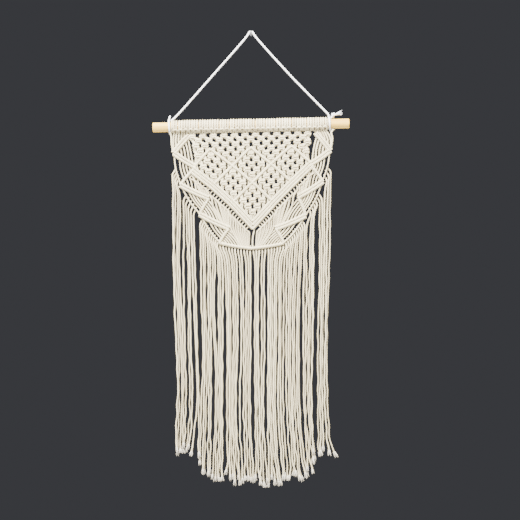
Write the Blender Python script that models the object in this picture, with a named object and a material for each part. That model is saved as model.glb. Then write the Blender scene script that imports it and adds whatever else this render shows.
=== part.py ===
"""Macrame wall hanging on a wooden dowel, with its hanger cord and wall hook.

Frame: +X to the viewer's right, the front faces -Y, the wall is the plane y = 0, +Z is up.
The origin is the centre of the hook's flat collar, on the wall.
Lengths are millimetres; each mesh is scaled to metres when its object is made.
"drop" is the distance below the centre of the dowel.
"""

import math
import random

import bmesh
import bpy
import numpy as np
from mathutils import Vector
from mathutils.geometry import delaunay_2d_cdt

MM = 0.001
GAP = 0.35  # clearance between separate pieces

# Dowel
DOWEL_LENGTH = 330.0
DOWEL_RADIUS = 8.0
DOWEL_CHAMFER = 0.9
DOWEL_SIDES = 24
DOWEL_Y = -12.9
DOWEL_Z = -155.0
DOWEL_SLOPE = 0.0208  # rises to the right

# Wall hook
COLLAR_RADIUS = 3.0
COLLAR_THICKNESS = 1.2
WIRE_RADIUS = 1.2
HOOK_REACH = 9.0
HOOK_TIP_Z = 4.6
HOOK_SIDES = 10

# Hanger cord
CORD_RADIUS = 2.0
CORD_SIDES = 6
CORD_SEAT_Y = -5.2  # where it crosses the hook
WRAP_RADIUS = 10.8
WRAP_PITCH = 4.5
WRAP_STEPS = 14
WRAP_LEFT_X = -138.0
WRAP_RIGHT_X = 130.6
KNOT_RADIUS = 3.6
TAIL_RADIUS = 3.3

# Larks head heading
HEADING_START = -131.0
HEADING_END = 128.0
HEADING_KNOTS = 30
HEADING_SIDES = 10
HEADING_RIDGE = 11.0
HEADING_GROOVE = 10.2
LOOP_BAR_RISE = 1.5
LOOP_BAR_ANGLE = math.radians(215)  # from +Y towards +Z: low on the front
LOOP_BAR_SPREAD = math.radians(28)

# Knotted panel
PANEL_Y = -16.2
STRAND_HALF = 1.65
STRAND_RISE = 2.0
CLOSE_HALF = 2.0  # a strand packed against its neighbours
KNOT_HALF = 4.1
KNOT_RISE = 4.4
LINK_SCALE = 0.68  # height between two knots, as a share of a knot's
BAR_HALF = 2.2
BAR_RISE = 4.4
GROOVE_RISE = 2.9
LEAST_RISE = 0.8
PANEL_TOP = HEADING_RIDGE + GAP
TOP_KNOT_HALF = 6.1
SNAP = 0.15  # points nearer than this are one point
LEAST_HOLE = 2.5  # square millimetres; a smaller gap between strands is closed

# The square-knot field: where the knot columns fall at each drop.
FIELD_LEVELS = (
    # drop, centre x, column pitch, rise to the right
    (0.0, -1.0, 17.8, 0.021),
    (14.0, -1.0, 17.8, 0.030),
    (31.0, 0.3, 17.2, 0.038),
    (47.0, -0.2, 16.8, 0.042),
    (66.0, 1.3, 16.2, 0.050),
    (95.5, 2.3, 15.9, 0.036),
    (126.0, 2.8, 15.8, 0.022),
    (160.0, 2.8, 15.7, 0.0),
)
CORNER_DROPS = (37.1, 66.3, 95.5, 126.5, 160.5)  # the diamonds' corners, down to the V's tip
FIELD_ROWS = (15.8, 22.9, 31.2, 39.4, 47.4, 55.6)  # square knots above the diamonds
DIAMOND_ROW_STEP = 0.288  # between two rows of knots, as a share of half a diamond's height
BORDER_ROWS = 3
EDGE_COLUMN = 5.7  # where the outermost strands run down beside the field

# The turning points of the half-hitch bars down each side.
VINE_POINTS = (
    # name, left x, left drop, right x, right drop
    ("start", -103.3, 16.5, 107.0, 12.6),
    ("outer_1", -129.6, 46.6, 132.6, 42.4),
    ("inner_1", -92.7, 69.8, 98.6, 65.6),
    ("outer_2", -118.6, 99.9, 120.4, 94.1),
    ("inner_2", -70.8, 122.2, 78.8, 119.7),
    ("outer_3", -85.9, 149.1, 91.9, 151.1),
    ("inner_3", -36.9, 172.6, 41.1, 172.6),
    ("outer_4", -53.2, 197.2, 55.3, 197.7),
    ("centre", 0.0, 206.1, 0.0, 206.1),
)
VINE_ROWS = (2, 2, 1, 2, 1, 2, 1, 1)  # rows of half hitches in each bar, from the top
# The fans of strands between two bars (bar 0 is the first; -1 is the heading).
VINE_FANS = (
    # upper bar, from, to, lower bar, from, to, strands
    (-1, 0.0, 1.0, 0, 0.97, 0.10, 6),
    (0, 0.93, 0.10, 1, 0.04, 0.90, 6),
    (1, 0.03, 0.88, 2, 0.97, 0.16, 6),
    (2, 0.94, 0.14, 3, 0.05, 0.56, 5),
    (3, 0.03, 0.92, 4, 0.98, 0.14, 7),
    (4, 0.94, 0.12, 5, 0.05, 0.58, 6),
    (5, 0.04, 0.92, 6, 0.97, 0.16, 6),
    (6, 0.94, 0.12, 7, 0.05, 0.50, 6),
)
# The strands that leave the V border and end on a bar of the vine.
BORDER_STRANDS = (
    # from, to (share of the border, from its top), bar, from, to, strands, bow of the first
    (0.04, 0.27, 3, 0.62, 0.98, 6, -0.02),
    (0.30, 0.39, 5, 0.62, 0.73, 3, -0.05),
    (0.43, 0.59, 5, 0.79, 0.99, 5, -0.02),
    (0.63, 0.945, 7, 0.53, 0.93, 9, -0.07),
)
OUTER_SLOT = 0.6  # extra room inside the outermost strand, in strands
FAN_BOW = 0.05
HEADING_STRANDS_X = ((-129.6, -106.6), (126.4, 106.4))  # vine strands at the heading

# Fringe
STRANDS = 60
FRINGE_Y = -15.6
LAYER_STEP = 2.6  # alternate strands hang this far in front and behind
FRINGE_HALF = 1.55
FRINGE_RADIUS = 2.42
BACKING_HALF = 1.3
BACKING_THICK = 2.0
ROOT_FALL = 26.0  # over this drop a strand turns to hang straight
STRAND_STEP = 110.0
TIP_SPREAD = 6.0
OUTLINE = (
    # drop, left x, right x
    (60.0, -133.0, 136.7),
    (150.0, -131.6, 134.5),
    (235.0, -129.5, 132.5),
    (293.0, -128.0, 130.8),
    (343.0, -126.6, 129.4),
    (420.0, -124.1, 128.3),
    (478.0, -124.1, 128.3),
    (511.0, -125.4, 130.2),
    (545.0, -128.6, 135.0),
    (575.0, -129.5, 141.5),
)
SLOTS = (
    # top drop, its x, bottom drop, its x, width
    (100, -115.2, 225, -115.0, 2.0),
    (205, -106.5, 490, -103.6, 2.2),
    (200, -99.8, 310, -98.0, 2.0),
    (330, -96.2, 480, -93.4, 2.2),
    (485, -95.0, 575, -94.0, 5.5),
    (150, -91.6, 390, -86.8, 5.0),
    (340, -62.5, 545, -64.2, 2.2),
    (215, -45.4, 525, -43.2, 4.2),
    (530, -45.6, 605, -43.4, 3.2),
    (250, -18.6, 500, -20.8, 2.0),
    (460, -16.2, 575, -14.0, 2.2),
    (210, -10.2, 325, -9.8, 1.6),
    (205, 3.8, 560, 2.6, 3.0),
    (205, 14.3, 440, 15.1, 1.7),
    (205, 24.0, 485, 24.6, 3.6),
    (300, 41.8, 550, 43.8, 2.4),
    (440, 57.0, 565, 56.0, 2.0),
    (245, 84.8, 530, 86.2, 2.4),
    (150, 99.0, 245, 98.4, 2.2),
    (140, 109.0, 550, 105.6, 5.2),
)
SLOT_FADE = 30.0
SLOT_REACH = 4.0  # strands over which a slot's push dies away
TIP_LINE = (
    # x, drop of the strands' ends
    (-130, 556),
    (-110, 556),
    (-94, 561),
    (-88, 575),
    (-72, 592),
    (-57, 606),
    (-48, 598),
    (-14, 608),
    (12, 607),
    (50, 605),
    (62, 598),
    (78, 597),
    (92, 586),
    (101, 566),
    (108, 558),
    (142, 561),
)
# Backing strips: where each group of strands is rooted, as the outer side of the panel's rim.
LEFT_OUTER_COUNT = 4
LEFT_INNER_COUNT = 5
RIGHT_INNER_COUNT = 6
RIGHT_OUTER_COUNT = 3

COTTON = (0.80, 0.76, 0.68, 1.0)
CORD_COTTON = (0.86, 0.84, 0.80, 1.0)
PINE = (0.72, 0.55, 0.34, 1.0)
STEEL = (0.46, 0.46, 0.47, 1.0)


# ---------------------------------------------------------------- objects and materials


def clear_scene():
    for old in list(bpy.data.objects):
        bpy.data.objects.remove(old, do_unlink=True)


def material(name, colour, roughness, metallic=0.0):
    made = bpy.data.materials.new(name)
    made.use_nodes = True
    shader = made.node_tree.nodes["Principled BSDF"]
    shader.inputs["Base Color"].default_value = colour
    shader.inputs["Roughness"].default_value = roughness
    shader.inputs["Metallic"].default_value = metallic
    return made


def make_object(name, points, faces, finish, smooth=False):
    """One object from points in millimetres, its faces turned outwards."""
    mesh = bpy.data.meshes.new(name)
    mesh.from_pydata([Vector(p) * MM for p in points], [], faces)
    work = bmesh.new()
    work.from_mesh(mesh)
    bmesh.ops.recalc_face_normals(work, faces=work.faces)
    work.to_mesh(mesh)
    work.free()
    if smooth:
        mesh.shade_smooth()
        mesh.set_sharp_from_angle(angle=math.radians(40))
    mesh.materials.append(finish)
    made = bpy.data.objects.new(name, mesh)
    bpy.context.collection.objects.link(made)
    return made


def tilt_with_dowel(made):
    """Seats an object, modelled round the X axis, on the dowel's own line."""
    made.location = (0, DOWEL_Y * MM, DOWEL_Z * MM)
    made.rotation_euler = (0, -math.atan(DOWEL_SLOPE), 0)


def dowel_top(x):
    """World height of the dowel's own centre line."""
    return DOWEL_Z + DOWEL_SLOPE * x


def tube(path, radii, sides):
    """Points and faces of a round tube along a path, with flat ends."""
    path = [Vector(p) for p in path]
    points, faces = [], []
    side_axis = None
    for i, centre in enumerate(path):
        ahead = (path[min(i + 1, len(path) - 1)] - path[max(i - 1, 0)]).normalized()
        if side_axis is None:
            side_axis = ahead.orthogonal()
        side_axis = (side_axis - ahead * side_axis.dot(ahead)).normalized()
        other_axis = ahead.cross(side_axis)
        for k in range(sides):
            turn = 2 * math.pi * k / sides
            points.append(centre + radii[i] * (math.cos(turn) * side_axis + math.sin(turn) * other_axis))
    for i in range(len(path) - 1):
        for k in range(sides):
            a, b = i * sides + k, i * sides + (k + 1) % sides
            faces.append((a, b, b + sides, a + sides))
    faces.append(tuple(range(sides)))
    faces.append(tuple(range((len(path) - 1) * sides, len(path) * sides)))
    return points, faces


# ---------------------------------------------------------------- dowel, hook and hanger


def build_dowel():
    half = DOWEL_LENGTH / 2
    rings = (
        (-half, DOWEL_RADIUS - DOWEL_CHAMFER),
        (-half + DOWEL_CHAMFER, DOWEL_RADIUS),
        (half - DOWEL_CHAMFER, DOWEL_RADIUS),
        (half, DOWEL_RADIUS - DOWEL_CHAMFER),
    )
    path = [(x, 0, 0) for x, _ in rings]
    points, faces = tube(path, [r for _, r in rings], DOWEL_SIDES)
    tilt_with_dowel(make_object("dowel", points, faces, material("pine", PINE, 0.55), smooth=True))


def build_hook():
    """A bent wire hook: flat collar on the wall, shank under the cord, tip turned up in front."""
    bend = [(0, -HOOK_REACH * s, HOOK_TIP_Z * r) for s, r in ((0.86, 0.0), (0.97, 0.12), (1.0, 0.4), (1.0, 1.0))]
    path = [(0, 0, 0), (0, -COLLAR_THICKNESS, 0), (0, -COLLAR_THICKNESS - 0.05, 0), (0, -4, 0)] + bend
    radii = [COLLAR_RADIUS, COLLAR_RADIUS] + [WIRE_RADIUS] * (len(path) - 2)
    points, faces = tube(path, radii, HOOK_SIDES)
    make_object("wall_hook", points, faces, material("steel_wire", STEEL, 0.35, 1.0), smooth=True)


def wrap_round_dowel(start_x):
    """One turn round the dowel, forwards over the top, moving one pitch to the right."""
    turn = []
    for k in range(WRAP_STEPS + 1):
        angle = math.pi / 2 + 2 * math.pi * k / WRAP_STEPS
        x = start_x + WRAP_PITCH * k / WRAP_STEPS
        across = DOWEL_Y + WRAP_RADIUS * math.cos(angle)
        turn.append((x, across, dowel_top(x) + WRAP_RADIUS * math.sin(angle)))
    return turn


def build_hanger():
    """The hanger cord: stub, turn at the left, two legs over the hook, turn at the right, knot, tail."""
    left_wrap = wrap_round_dowel(WRAP_LEFT_X)
    right_wrap = wrap_round_dowel(WRAP_RIGHT_X)
    seat_z = WIRE_RADIUS + CORD_RADIUS + GAP
    stub = [(-136.0, -10.9, -139.0), (-137.2, -11.2, -143.4)]
    over_hook = [(-6.5, CORD_SEAT_Y - 0.3, -3.6), (-2.4, CORD_SEAT_Y, seat_z - 0.7), (0, CORD_SEAT_Y, seat_z)]
    over_hook += [(-x, y, z) for x, y, z in reversed(over_hook[:2])]
    left_leg = [(-127.5, -11.5, -141.6), (-62.0, -8.4, -68.0)]
    right_leg = [(62.0, -8.4, -66.2), (124.0, -11.5, -130.4), (129.8, -12.2, -136.6)]
    knot = [(136.0, -10.8, -141.0), (136.9, -11.0, -139.6), (138.0, -11.6, -138.2), (139.8, -12.2, -137.2)]
    tail = [(143.0, -13.0, -136.2), (147.6, -13.4, -134.8), (152.4, -13.6, -133.6)]
    path = stub + left_wrap + left_leg + over_hook + right_leg + right_wrap + knot + tail
    radii = [CORD_RADIUS] * len(path)
    knot_at = len(path) - len(tail) - len(knot)
    radii[knot_at : knot_at + 4] = (2.6, KNOT_RADIUS, KNOT_RADIUS, 2.6)
    radii[-2:] = (TAIL_RADIUS - 0.4, TAIL_RADIUS)
    points, faces = tube(path, radii, CORD_SIDES)
    make_object("hanger_cord", points, faces, material("cord_cotton", CORD_COTTON, 0.9), smooth=True)


def build_heading(finish):
    """The larks head knots: a ridged sleeve round the dowel, with each knot's loop low on the front."""
    inner = (DOWEL_RADIUS + GAP) / math.cos(math.pi / HEADING_SIDES)
    length = HEADING_END - HEADING_START
    points, faces = [], []
    rings = 2 * HEADING_KNOTS + 1

    def ring(x, radius, loop_rise):
        for k in range(HEADING_SIDES):
            angle = 2 * math.pi * k / HEADING_SIDES
            away = math.remainder(angle - LOOP_BAR_ANGLE, 2 * math.pi) / LOOP_BAR_SPREAD
            r = radius + loop_rise * math.exp(-away * away)
            points.append((x, r * math.cos(angle), r * math.sin(angle)))

    for i in range(rings):
        on_ridge = i % 2 == 1
        radius = HEADING_RIDGE if on_ridge else HEADING_GROOVE
        ring(HEADING_START + length * i / (rings - 1), radius, LOOP_BAR_RISE if on_ridge else LOOP_BAR_RISE / 2)
    ring(HEADING_END, inner, 0)
    ring(HEADING_START, inner, 0)
    count = rings + 2
    for i in range(count):
        for k in range(HEADING_SIDES):
            a, b = i * HEADING_SIDES + k, i * HEADING_SIDES + (k + 1) % HEADING_SIDES
            shift = HEADING_SIDES if i < count - 1 else -(count - 1) * HEADING_SIDES
            faces.append((a, b, b + shift, a + shift))
    tilt_with_dowel(make_object("larks_head_heading", points, faces, finish, smooth=True))


# ---------------------------------------------------------------- flat routes


def field_point(column, drop):
    """(x, z) of a knot column at a nominal drop; z is measured from the dowel's centre."""
    drops = [row[0] for row in FIELD_LEVELS]
    centre, pitch, rise = (float(np.interp(drop, drops, [row[i] for row in FIELD_LEVELS])) for i in (1, 2, 3))
    x = centre + column * pitch
    return np.array((x, rise * x - drop))


def along(route, share):
    """The point at a share of a polyline's length."""
    route = np.asarray(route, float)
    reach = np.concatenate([[0], np.cumsum(np.linalg.norm(np.diff(route, axis=0), axis=1))])
    return np.array([np.interp(share * reach[-1], reach, route[:, i]) for i in (0, 1)])


def offset_route(route, offset):
    """A polyline moved sideways to its left, mitred at its bends."""
    route = np.asarray(route, float)
    steps = np.diff(route, axis=0)
    steps /= np.linalg.norm(steps, axis=1)[:, None]
    normals = np.stack([-steps[:, 1], steps[:, 0]], axis=1)
    before = np.concatenate([normals[:1], normals])
    after = np.concatenate([normals, normals[-1:]])
    mitre = (before + after) / (1 + np.sum(before * after, axis=1))[:, None]
    return route + offset * mitre


def bowed(start, end, bow, pieces):
    """A shallow curve between two points, bulging to its left by bow times its length."""
    start, end = np.asarray(start, float), np.asarray(end, float)
    line = end - start
    left = np.array((-line[1], line[0]))
    shares = np.linspace(0, 1, pieces + 1)
    return np.array([start + line * s + left * bow * 4 * s * (1 - s) for s in shares])


def rows_profile(rows):
    """Cross-section of a bar of one or more rows of half hitches: (offset, rise) pairs."""
    half = rows * BAR_HALF
    profile = [(-half, 0.0)]
    for row in range(rows):
        ridge = -half + (2 * row + 1) * BAR_HALF
        profile += [(ridge, BAR_RISE), (ridge + BAR_HALF, GROOVE_RISE)]
    profile[-1] = (half, 0.0)
    return profile


STRAND_PROFILE = ((-STRAND_HALF, 0.0), (0.0, STRAND_RISE), (STRAND_HALF, 0.0))
CLOSE_PROFILE = ((-CLOSE_HALF, 0.0), (0.0, STRAND_RISE), (CLOSE_HALF, 0.0))
LINK_PROFILE = ((-KNOT_HALF, 0.0), (0.0, KNOT_RISE), (KNOT_HALF, 0.0))
TOP_PROFILE = ((-TOP_KNOT_HALF, 0.0), (0.0, KNOT_RISE), (TOP_KNOT_HALF, 0.0))
EDGE_PROFILE = ((-1.4 * STRAND_HALF, 0.0), (0.0, STRAND_RISE), (1.4 * STRAND_HALF, 0.0))


class Ribbon:
    """A strand, a pair of strands or a bar: a route in the panel's plane and a ridged cross-section.

    The ridge may have more points than the route, each with its own share of the full rise."""

    def __init__(self, route, profile, ridge=None, scales=None):
        self.route = np.asarray(route, float)
        self.ridge = self.route if ridge is None else np.asarray(ridge, float)
        self.offsets = [offset for offset, _ in profile]
        self.rises = [rise for _, rise in profile]
        self.scales = scales or [1.0] * len(self.ridge)


# ---------------------------------------------------------------- the knotted field


def corner(half_column, level):
    return field_point(half_column / 2, CORNER_DROPS[level])


def diamond_side(half_column_a, level_a, half_column_b, level_b):
    """Points at every half column along one or more diamond sides, in one straight nominal line."""
    steps = abs(half_column_b - half_column_a)
    shares = np.linspace(0, 1, steps + 1)
    columns = half_column_a + (half_column_b - half_column_a) * shares
    levels = level_a + (level_b - level_a) * shares
    drops = np.interp(levels, range(len(CORNER_DROPS)), CORNER_DROPS)
    return [field_point(c / 2, d) for c, d in zip(columns, drops)]


def rim_above_diamonds(half_column):
    """The point of the diamonds' upper zigzag at a half column."""
    apex = min((-8, 0, 8), key=lambda at: abs(at - half_column))
    share = abs(half_column - apex) / 4
    drop = CORNER_DROPS[0] + share * (CORNER_DROPS[1] - CORNER_DROPS[0])
    return field_point(half_column / 2, drop)


def upper_knots():
    """Square knots above the diamonds: {(half column, row): point}."""
    columns = (
        range(-11, 12, 2),
        range(-10, 11, 2),
        range(-11, 12, 2),
        (-10, -6, -4, -2, 2, 4, 6, 10),
        (-11, -5, -3, 3, 5, 11),
        (-4, 4),
    )
    return {(c, r): field_point(c / 2, FIELD_ROWS[r]) for r, row in enumerate(columns) for c in row}


def diamond_knots(centre, level):
    """The nine square knots of one diamond."""
    knots = {}
    for row in range(-2, 3):
        side = level + (1 if row > 0 else -1)
        half_height = abs(CORNER_DROPS[side] - CORNER_DROPS[level])
        drop = CORNER_DROPS[level] + row * DIAMOND_ROW_STEP * half_height
        for k in range(3 - abs(row)):
            c = centre + 2 * k - (2 - abs(row))
            knots[c, row] = field_point(c / 2, drop)
    return knots


def link_routes(knots, way, above, below):
    """Chains of knots running down to the right (way 1) or left (way -1), carried on to the bars."""
    for (c, r), point in sorted(knots.items()):
        if (c - way, r - 1) in knots:
            continue
        chain = [above(c - way, r), point]
        while (c + way, r + 1) in knots:
            c, r = c + way, r + 1
            chain.append(knots[c, r])
        chain.append(below(c + way, r))
        chain = [p for p in chain if p is not None]
        if len(chain) > 1:
            yield chain


def link_ribbon(chain):
    """A ribbon over a chain of knots, lower between one knot and the next."""
    ridge, scales = [chain[0]], [1.0]
    for a, b in zip(chain, chain[1:]):
        ridge += [(a + b) / 2, b]
        scales += [LINK_SCALE, 1.0]
    return Ribbon(chain, LINK_PROFILE, ridge, scales)


def field_ribbons():
    ribbons = []
    knots = upper_knots()
    for way in (1, -1):
        def below(c, r):
            return rim_above_diamonds(c) if r >= 2 and abs(c) < 12 and (c, r + 1) not in knots else None

        ribbons += [link_ribbon(chain) for chain in link_routes(knots, way, lambda c, r: None, below)]
    for c in range(-11, 12, 2):
        knot = knots[c, 0]
        top = np.array((knot[0], DOWEL_SLOPE * knot[0] - PANEL_TOP))
        ribbons.append(Ribbon([top, knot], TOP_PROFILE))
    for level, centres in ((1, (-8, 0, 8)), (2, (-4, 4)), (3, (0,))):
        for centre in centres:
            ribbons += diamond_ribbons(centre, level)
    for side in (-1, 1):
        route = [field_point(side * EDGE_COLUMN, FIELD_ROWS[row]) for row in (0, 2, 4)]
        ribbons.append(Ribbon(route + [corner(12 * side, 1)], EDGE_PROFILE))
    return ribbons


def diamond_ribbons(centre, level):
    knots = diamond_knots(centre, level)

    def rim(c, step):
        share = 1 - abs(c - centre) / 4
        drop = CORNER_DROPS[level] + share * (CORNER_DROPS[level + step] - CORNER_DROPS[level])
        return field_point(c / 2, drop)

    ribbons = []
    for way in (1, -1):
        chains = link_routes(knots, way, lambda c, r: rim(c, -1), lambda c, r: rim(c, 1))
        ribbons += [link_ribbon(chain) for chain in chains]
    return ribbons


def bar_ribbons():
    """The half-hitch lines that edge the diamonds, and the V border under them."""
    lines = []
    for side in (-1, 1):
        lines += [
            diamond_side(8 * side, 0, -4 * side, 3),
            diamond_side(0, 0, 8 * side, 2),
            diamond_side(8 * side, 0, 12 * side, 1),
        ]
    ribbons = [Ribbon(line, rows_profile(1)) for line in lines]
    outer = [(offset + (BORDER_ROWS - 1) * BAR_HALF, rise) for offset, rise in rows_profile(BORDER_ROWS)]
    right_way_down = [(-offset, rise) for offset, rise in reversed(outer)]
    ribbons.append(Ribbon(border_route(), right_way_down))
    tip = offset_route(border_route(), -2 * (BORDER_ROWS - 1) * BAR_HALF)[3]
    ribbons.append(Ribbon([tip, (0.0, -VINE_POINTS[-1][2])], STRAND_PROFILE))
    return ribbons


def border_route():
    """The V border's first row, from its left end to its right end."""
    points = [corner(c, level) for c, level in ((-12, 1), (-8, 2), (-4, 3), (0, 4), (4, 3), (8, 2), (12, 1))]
    return points


# ---------------------------------------------------------------- the vines


def vine_bars(side):
    """Routes of one side's bars, from the top. Side is -1 for the left and 1 for the right."""
    x_at, drop_at = (1, 2) if side < 0 else (3, 4)
    turns = [(row[x_at], -row[drop_at]) for row in VINE_POINTS]
    return [bowed(a, b, 0.02 * side, 3) for a, b in zip(turns, turns[1:])]


def heading_strand_top(side, share):
    near, far = HEADING_STRANDS_X[0 if side < 0 else 1]
    x = near + share * (far - near)
    return np.array((x, DOWEL_SLOPE * x - PANEL_TOP - GAP))


def fan_strands(side):
    """Routes of every strand between two bars, as lists of fans, outermost strand first."""
    bars = vine_bars(side)
    fans = []
    for upper, u0, u1, lower, v0, v1, count in VINE_FANS:
        fan = []
        slot = OUTER_SLOT if upper in (1, 3, 5) else 0.0
        for k in range(count):
            share = (k + slot * (k > 0)) / (count - 1 + slot)
            start = heading_strand_top(side, share) if upper < 0 else along(bars[upper], u0 + share * (u1 - u0))
            end = along(bars[lower], v0 + share * (v1 - v0))
            bow = (FAN_BOW if upper % 2 else -FAN_BOW) * side
            fan.append(bowed(start, end, bow, 3 if k == 0 else 2))
        fans.append(fan)
    return fans


def border_strands(side):
    """Routes of the strands between the V border and the vine, as lists of groups."""
    bars = vine_bars(side)
    rim = offset_route(border_route(), -2 * (BORDER_ROWS - 1) * BAR_HALF)
    rim = rim[:4] if side < 0 else rim[:2:-1]
    groups = []
    for s0, s1, bar, v0, v1, count, bow in BORDER_STRANDS:
        groups.append([])
        for k in range(count):
            share = k / (count - 1)
            start, end = along(rim, s0 + share * (s1 - s0)), along(bars[bar], v0 + share * (v1 - v0))
            groups[-1].append(bowed(start, end, bow * (1 - share) * -side, 2))
    return groups


def creases(side):
    """The lines between neighbouring strands that touch, where the surface dips."""
    lines = []
    for group in border_strands(side):
        for a, b in zip(group, group[1:]):
            middle = (a + b) / 2
            ends = along(middle, 0.12), along(middle, 0.94)
            lines.append([ends[0], middle[1], ends[1]])
    return lines


def vine_ribbons(side):
    ribbons = [Ribbon(bar, rows_profile(rows)) for bar, rows in zip(vine_bars(side), VINE_ROWS)]
    for fan in fan_strands(side):
        ribbons += [Ribbon(strand, STRAND_PROFILE) for strand in fan]
    ribbons += [Ribbon(strand, CLOSE_PROFILE) for group in border_strands(side) for strand in group]
    return ribbons


# ---------------------------------------------------------------- ribbons to one solid


def edge_owners(faces):
    """{edge: faces that share it}."""
    owners = {}
    for f, face in enumerate(faces):
        for a, b in zip(face, face[1:] + face[:1]):
            owners.setdefault((min(a, b), max(a, b)), []).append(f)
    return owners


def flat_area(points, loop):
    """The signed area of a flat loop."""
    total = 0.0
    for a, b in zip(loop, loop[1:] + loop[:1]):
        total += points[a][0] * points[b][1] - points[b][0] * points[a][1]
    return total / 2


def patches(faces, walls):
    """Groups of triangles joined across edges that aren't walls."""
    owners = edge_owners(faces)
    seen = set()
    for start in range(len(faces)):
        if start in seen:
            continue
        seen.add(start)
        patch, queue = [], [start]
        while queue:
            here = queue.pop()
            patch.append(here)
            for a, b in zip(faces[here], faces[here][1:] + faces[here][:1]):
                edge = (min(a, b), max(a, b))
                for near in owners[edge] if edge not in walls else ():
                    if near not in seen:
                        seen.add(near)
                        queue.append(near)
        yield patch


def middles(points, faces):
    return np.array([tuple((points[a] + points[b] + points[c]) / 3) for a, b, c in faces])


def covered(points, triangles):
    """Which of the points (n, 2) lie in any of the triangles (m, 3, 2)."""
    found = np.zeros(len(points), bool)
    for triangle in triangles:
        boxed = (points > triangle.min(axis=0)) & (points < triangle.max(axis=0))
        near = np.flatnonzero(boxed[:, 0] & boxed[:, 1])
        step = np.roll(triangle, -1, axis=0) - triangle
        away = points[near, None, :] - triangle[None]
        side = step[:, 0] * away[..., 1] - step[:, 1] * away[..., 0]
        found[near[(side > 0).all(axis=1) | (side < 0).all(axis=1)]] = True
    return found


def union_outline(ribbons):
    """Points and edges of the outline of all ribbons together, and the triangles inside it."""
    points, edges, triangles = [], [], []
    for ribbon in ribbons:
        first, rows = len(points), len(ribbon.route)
        for offset in (ribbon.offsets[0], ribbon.offsets[-1]):
            points += [Vector(p) for p in offset_route(ribbon.route, offset)]
        for i in range(first, first + rows - 1):
            corners = (i, i + 1, i + rows + 1, i + rows)
            edges += list(zip(corners, corners[1:] + corners[:1]))
            triangles += [corners[:3], (corners[2], corners[3], corners[0])]
    triangles = np.array([[tuple(points[v]) for v in triangle] for triangle in triangles])
    flat, _, faces, _, _, _ = delaunay_2d_cdt(points, edges, [], 0, SNAP, False)
    faces = [tuple(face) for face in faces]
    inside = covered(middles(flat, faces), triangles)
    rim = [edge for edge, near in edge_owners(faces).items() if sum(inside[f] for f in near) == 1]
    for patch in patches(faces, set(rim)):
        if sum(flat_area(flat, faces[f]) for f in patch) < LEAST_HOLE:
            inside[patch] = True
    rim = [edge for edge, near in edge_owners(faces).items() if sum(inside[f] for f in near) == 1]
    used = sorted({v for edge in rim for v in edge})
    renumber = {v: k for k, v in enumerate(used)}
    filled = np.array([[tuple(flat[v]) for v in faces[f]] for f in range(len(faces)) if inside[f]])
    return [flat[v] for v in used], [(renumber[a], renumber[b]) for a, b in rim], filled


def flat_union(ribbons, dips):
    """Triangles over the union of all ribbons, with every ridge and every dip kept as an edge."""
    points, edges, filled = union_outline(ribbons)
    wall_count = len(edges)
    ridges = [offset_route(ribbon.ridge, at) for ribbon in ribbons for at in ribbon.offsets[1:-1]]
    for line in ridges + dips:
        first = len(points)
        points += [Vector(p) for p in line]
        edges += [(i, i + 1) for i in range(first, len(points) - 1)]
    flat, out_edges, faces, _, sources, _ = delaunay_2d_cdt(points, edges, [], 0, SNAP, True)
    walls = {
        (min(edge), max(edge))
        for edge, source in zip(out_edges, sources)
        if any(k < wall_count for k in source)
    }
    faces = [tuple(face) for face in faces]
    groups = [[faces[f] for f in patch] for patch in patches(faces, walls)]
    largest = [max(group, key=lambda face: flat_area(flat, face)) for group in groups]
    inside = covered(middles(flat, largest), filled)
    kept = [face for group, good in zip(groups, inside) if good for face in group]
    return np.array([tuple(p) for p in flat]), kept


def rises_over(flat, ribbons):
    """The height of the front above the mid-plane at each flat point: the highest ribbon there wins."""
    rise = np.full(len(flat), LEAST_RISE)
    for ribbon in ribbons:
        low, high = min(ribbon.offsets) - 0.05, max(ribbon.offsets) + 0.05
        last = len(ribbon.ridge) - 2
        for i, (a, b) in enumerate(zip(ribbon.ridge, ribbon.ridge[1:])):
            length = np.linalg.norm(b - a)
            ahead = (b - a) / length
            forward = (flat - a) @ ahead
            left = (flat - a) @ np.array((-ahead[1], ahead[0]))
            before = 0.1 if i == 0 else 0.5 * high
            after = 0.1 if i == last else 0.5 * high
            inside = (left >= low) & (left <= high) & (forward >= -before) & (forward <= length + after)
            scale = np.interp(forward, (0, length), ribbon.scales[i : i + 2])
            here = np.interp(left, ribbon.offsets, ribbon.rises) * scale
            rise = np.where(inside, np.maximum(rise, here), rise)
    return rise


def edge_counts(faces):
    counts = {}
    for a, b, c in faces:
        for edge in ((a, b), (b, c), (c, a)):
            key = tuple(sorted(edge))
            counts[key] = counts.get(key, 0) + 1
    return counts


def part_pinched_corners(flat, faces):
    """Where two corners of the outline meet in one point, gives each its own point, a little apart."""
    flat = [np.array(p) for p in flat]
    around = {}
    for f, face in enumerate(faces):
        for v in face:
            around.setdefault(v, []).append(f)
    faces = [list(face) for face in faces]
    for v, near in around.items():
        groups = []
        for f in near:
            others = {u for u in faces[f] if u != v}
            joined = [g for g in groups if g[0] & others]
            merged = (others.union(*(g[0] for g in joined)), [f] + [x for g in joined for x in g[1]])
            groups = [g for g in groups if g not in joined] + [merged]
        if len(groups) == 1:
            continue
        for _, members in groups:
            middle = np.mean([flat[u] for f in members for u in faces[f] if u != v], axis=0)
            inward = middle - flat[v]
            moved = flat[v] + 0.25 * inward / np.linalg.norm(inward)
            flat.append(moved)
            for f in members:
                faces[f][faces[f].index(v)] = len(flat) - 1
    return np.array(flat), [tuple(face) for face in faces]


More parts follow.
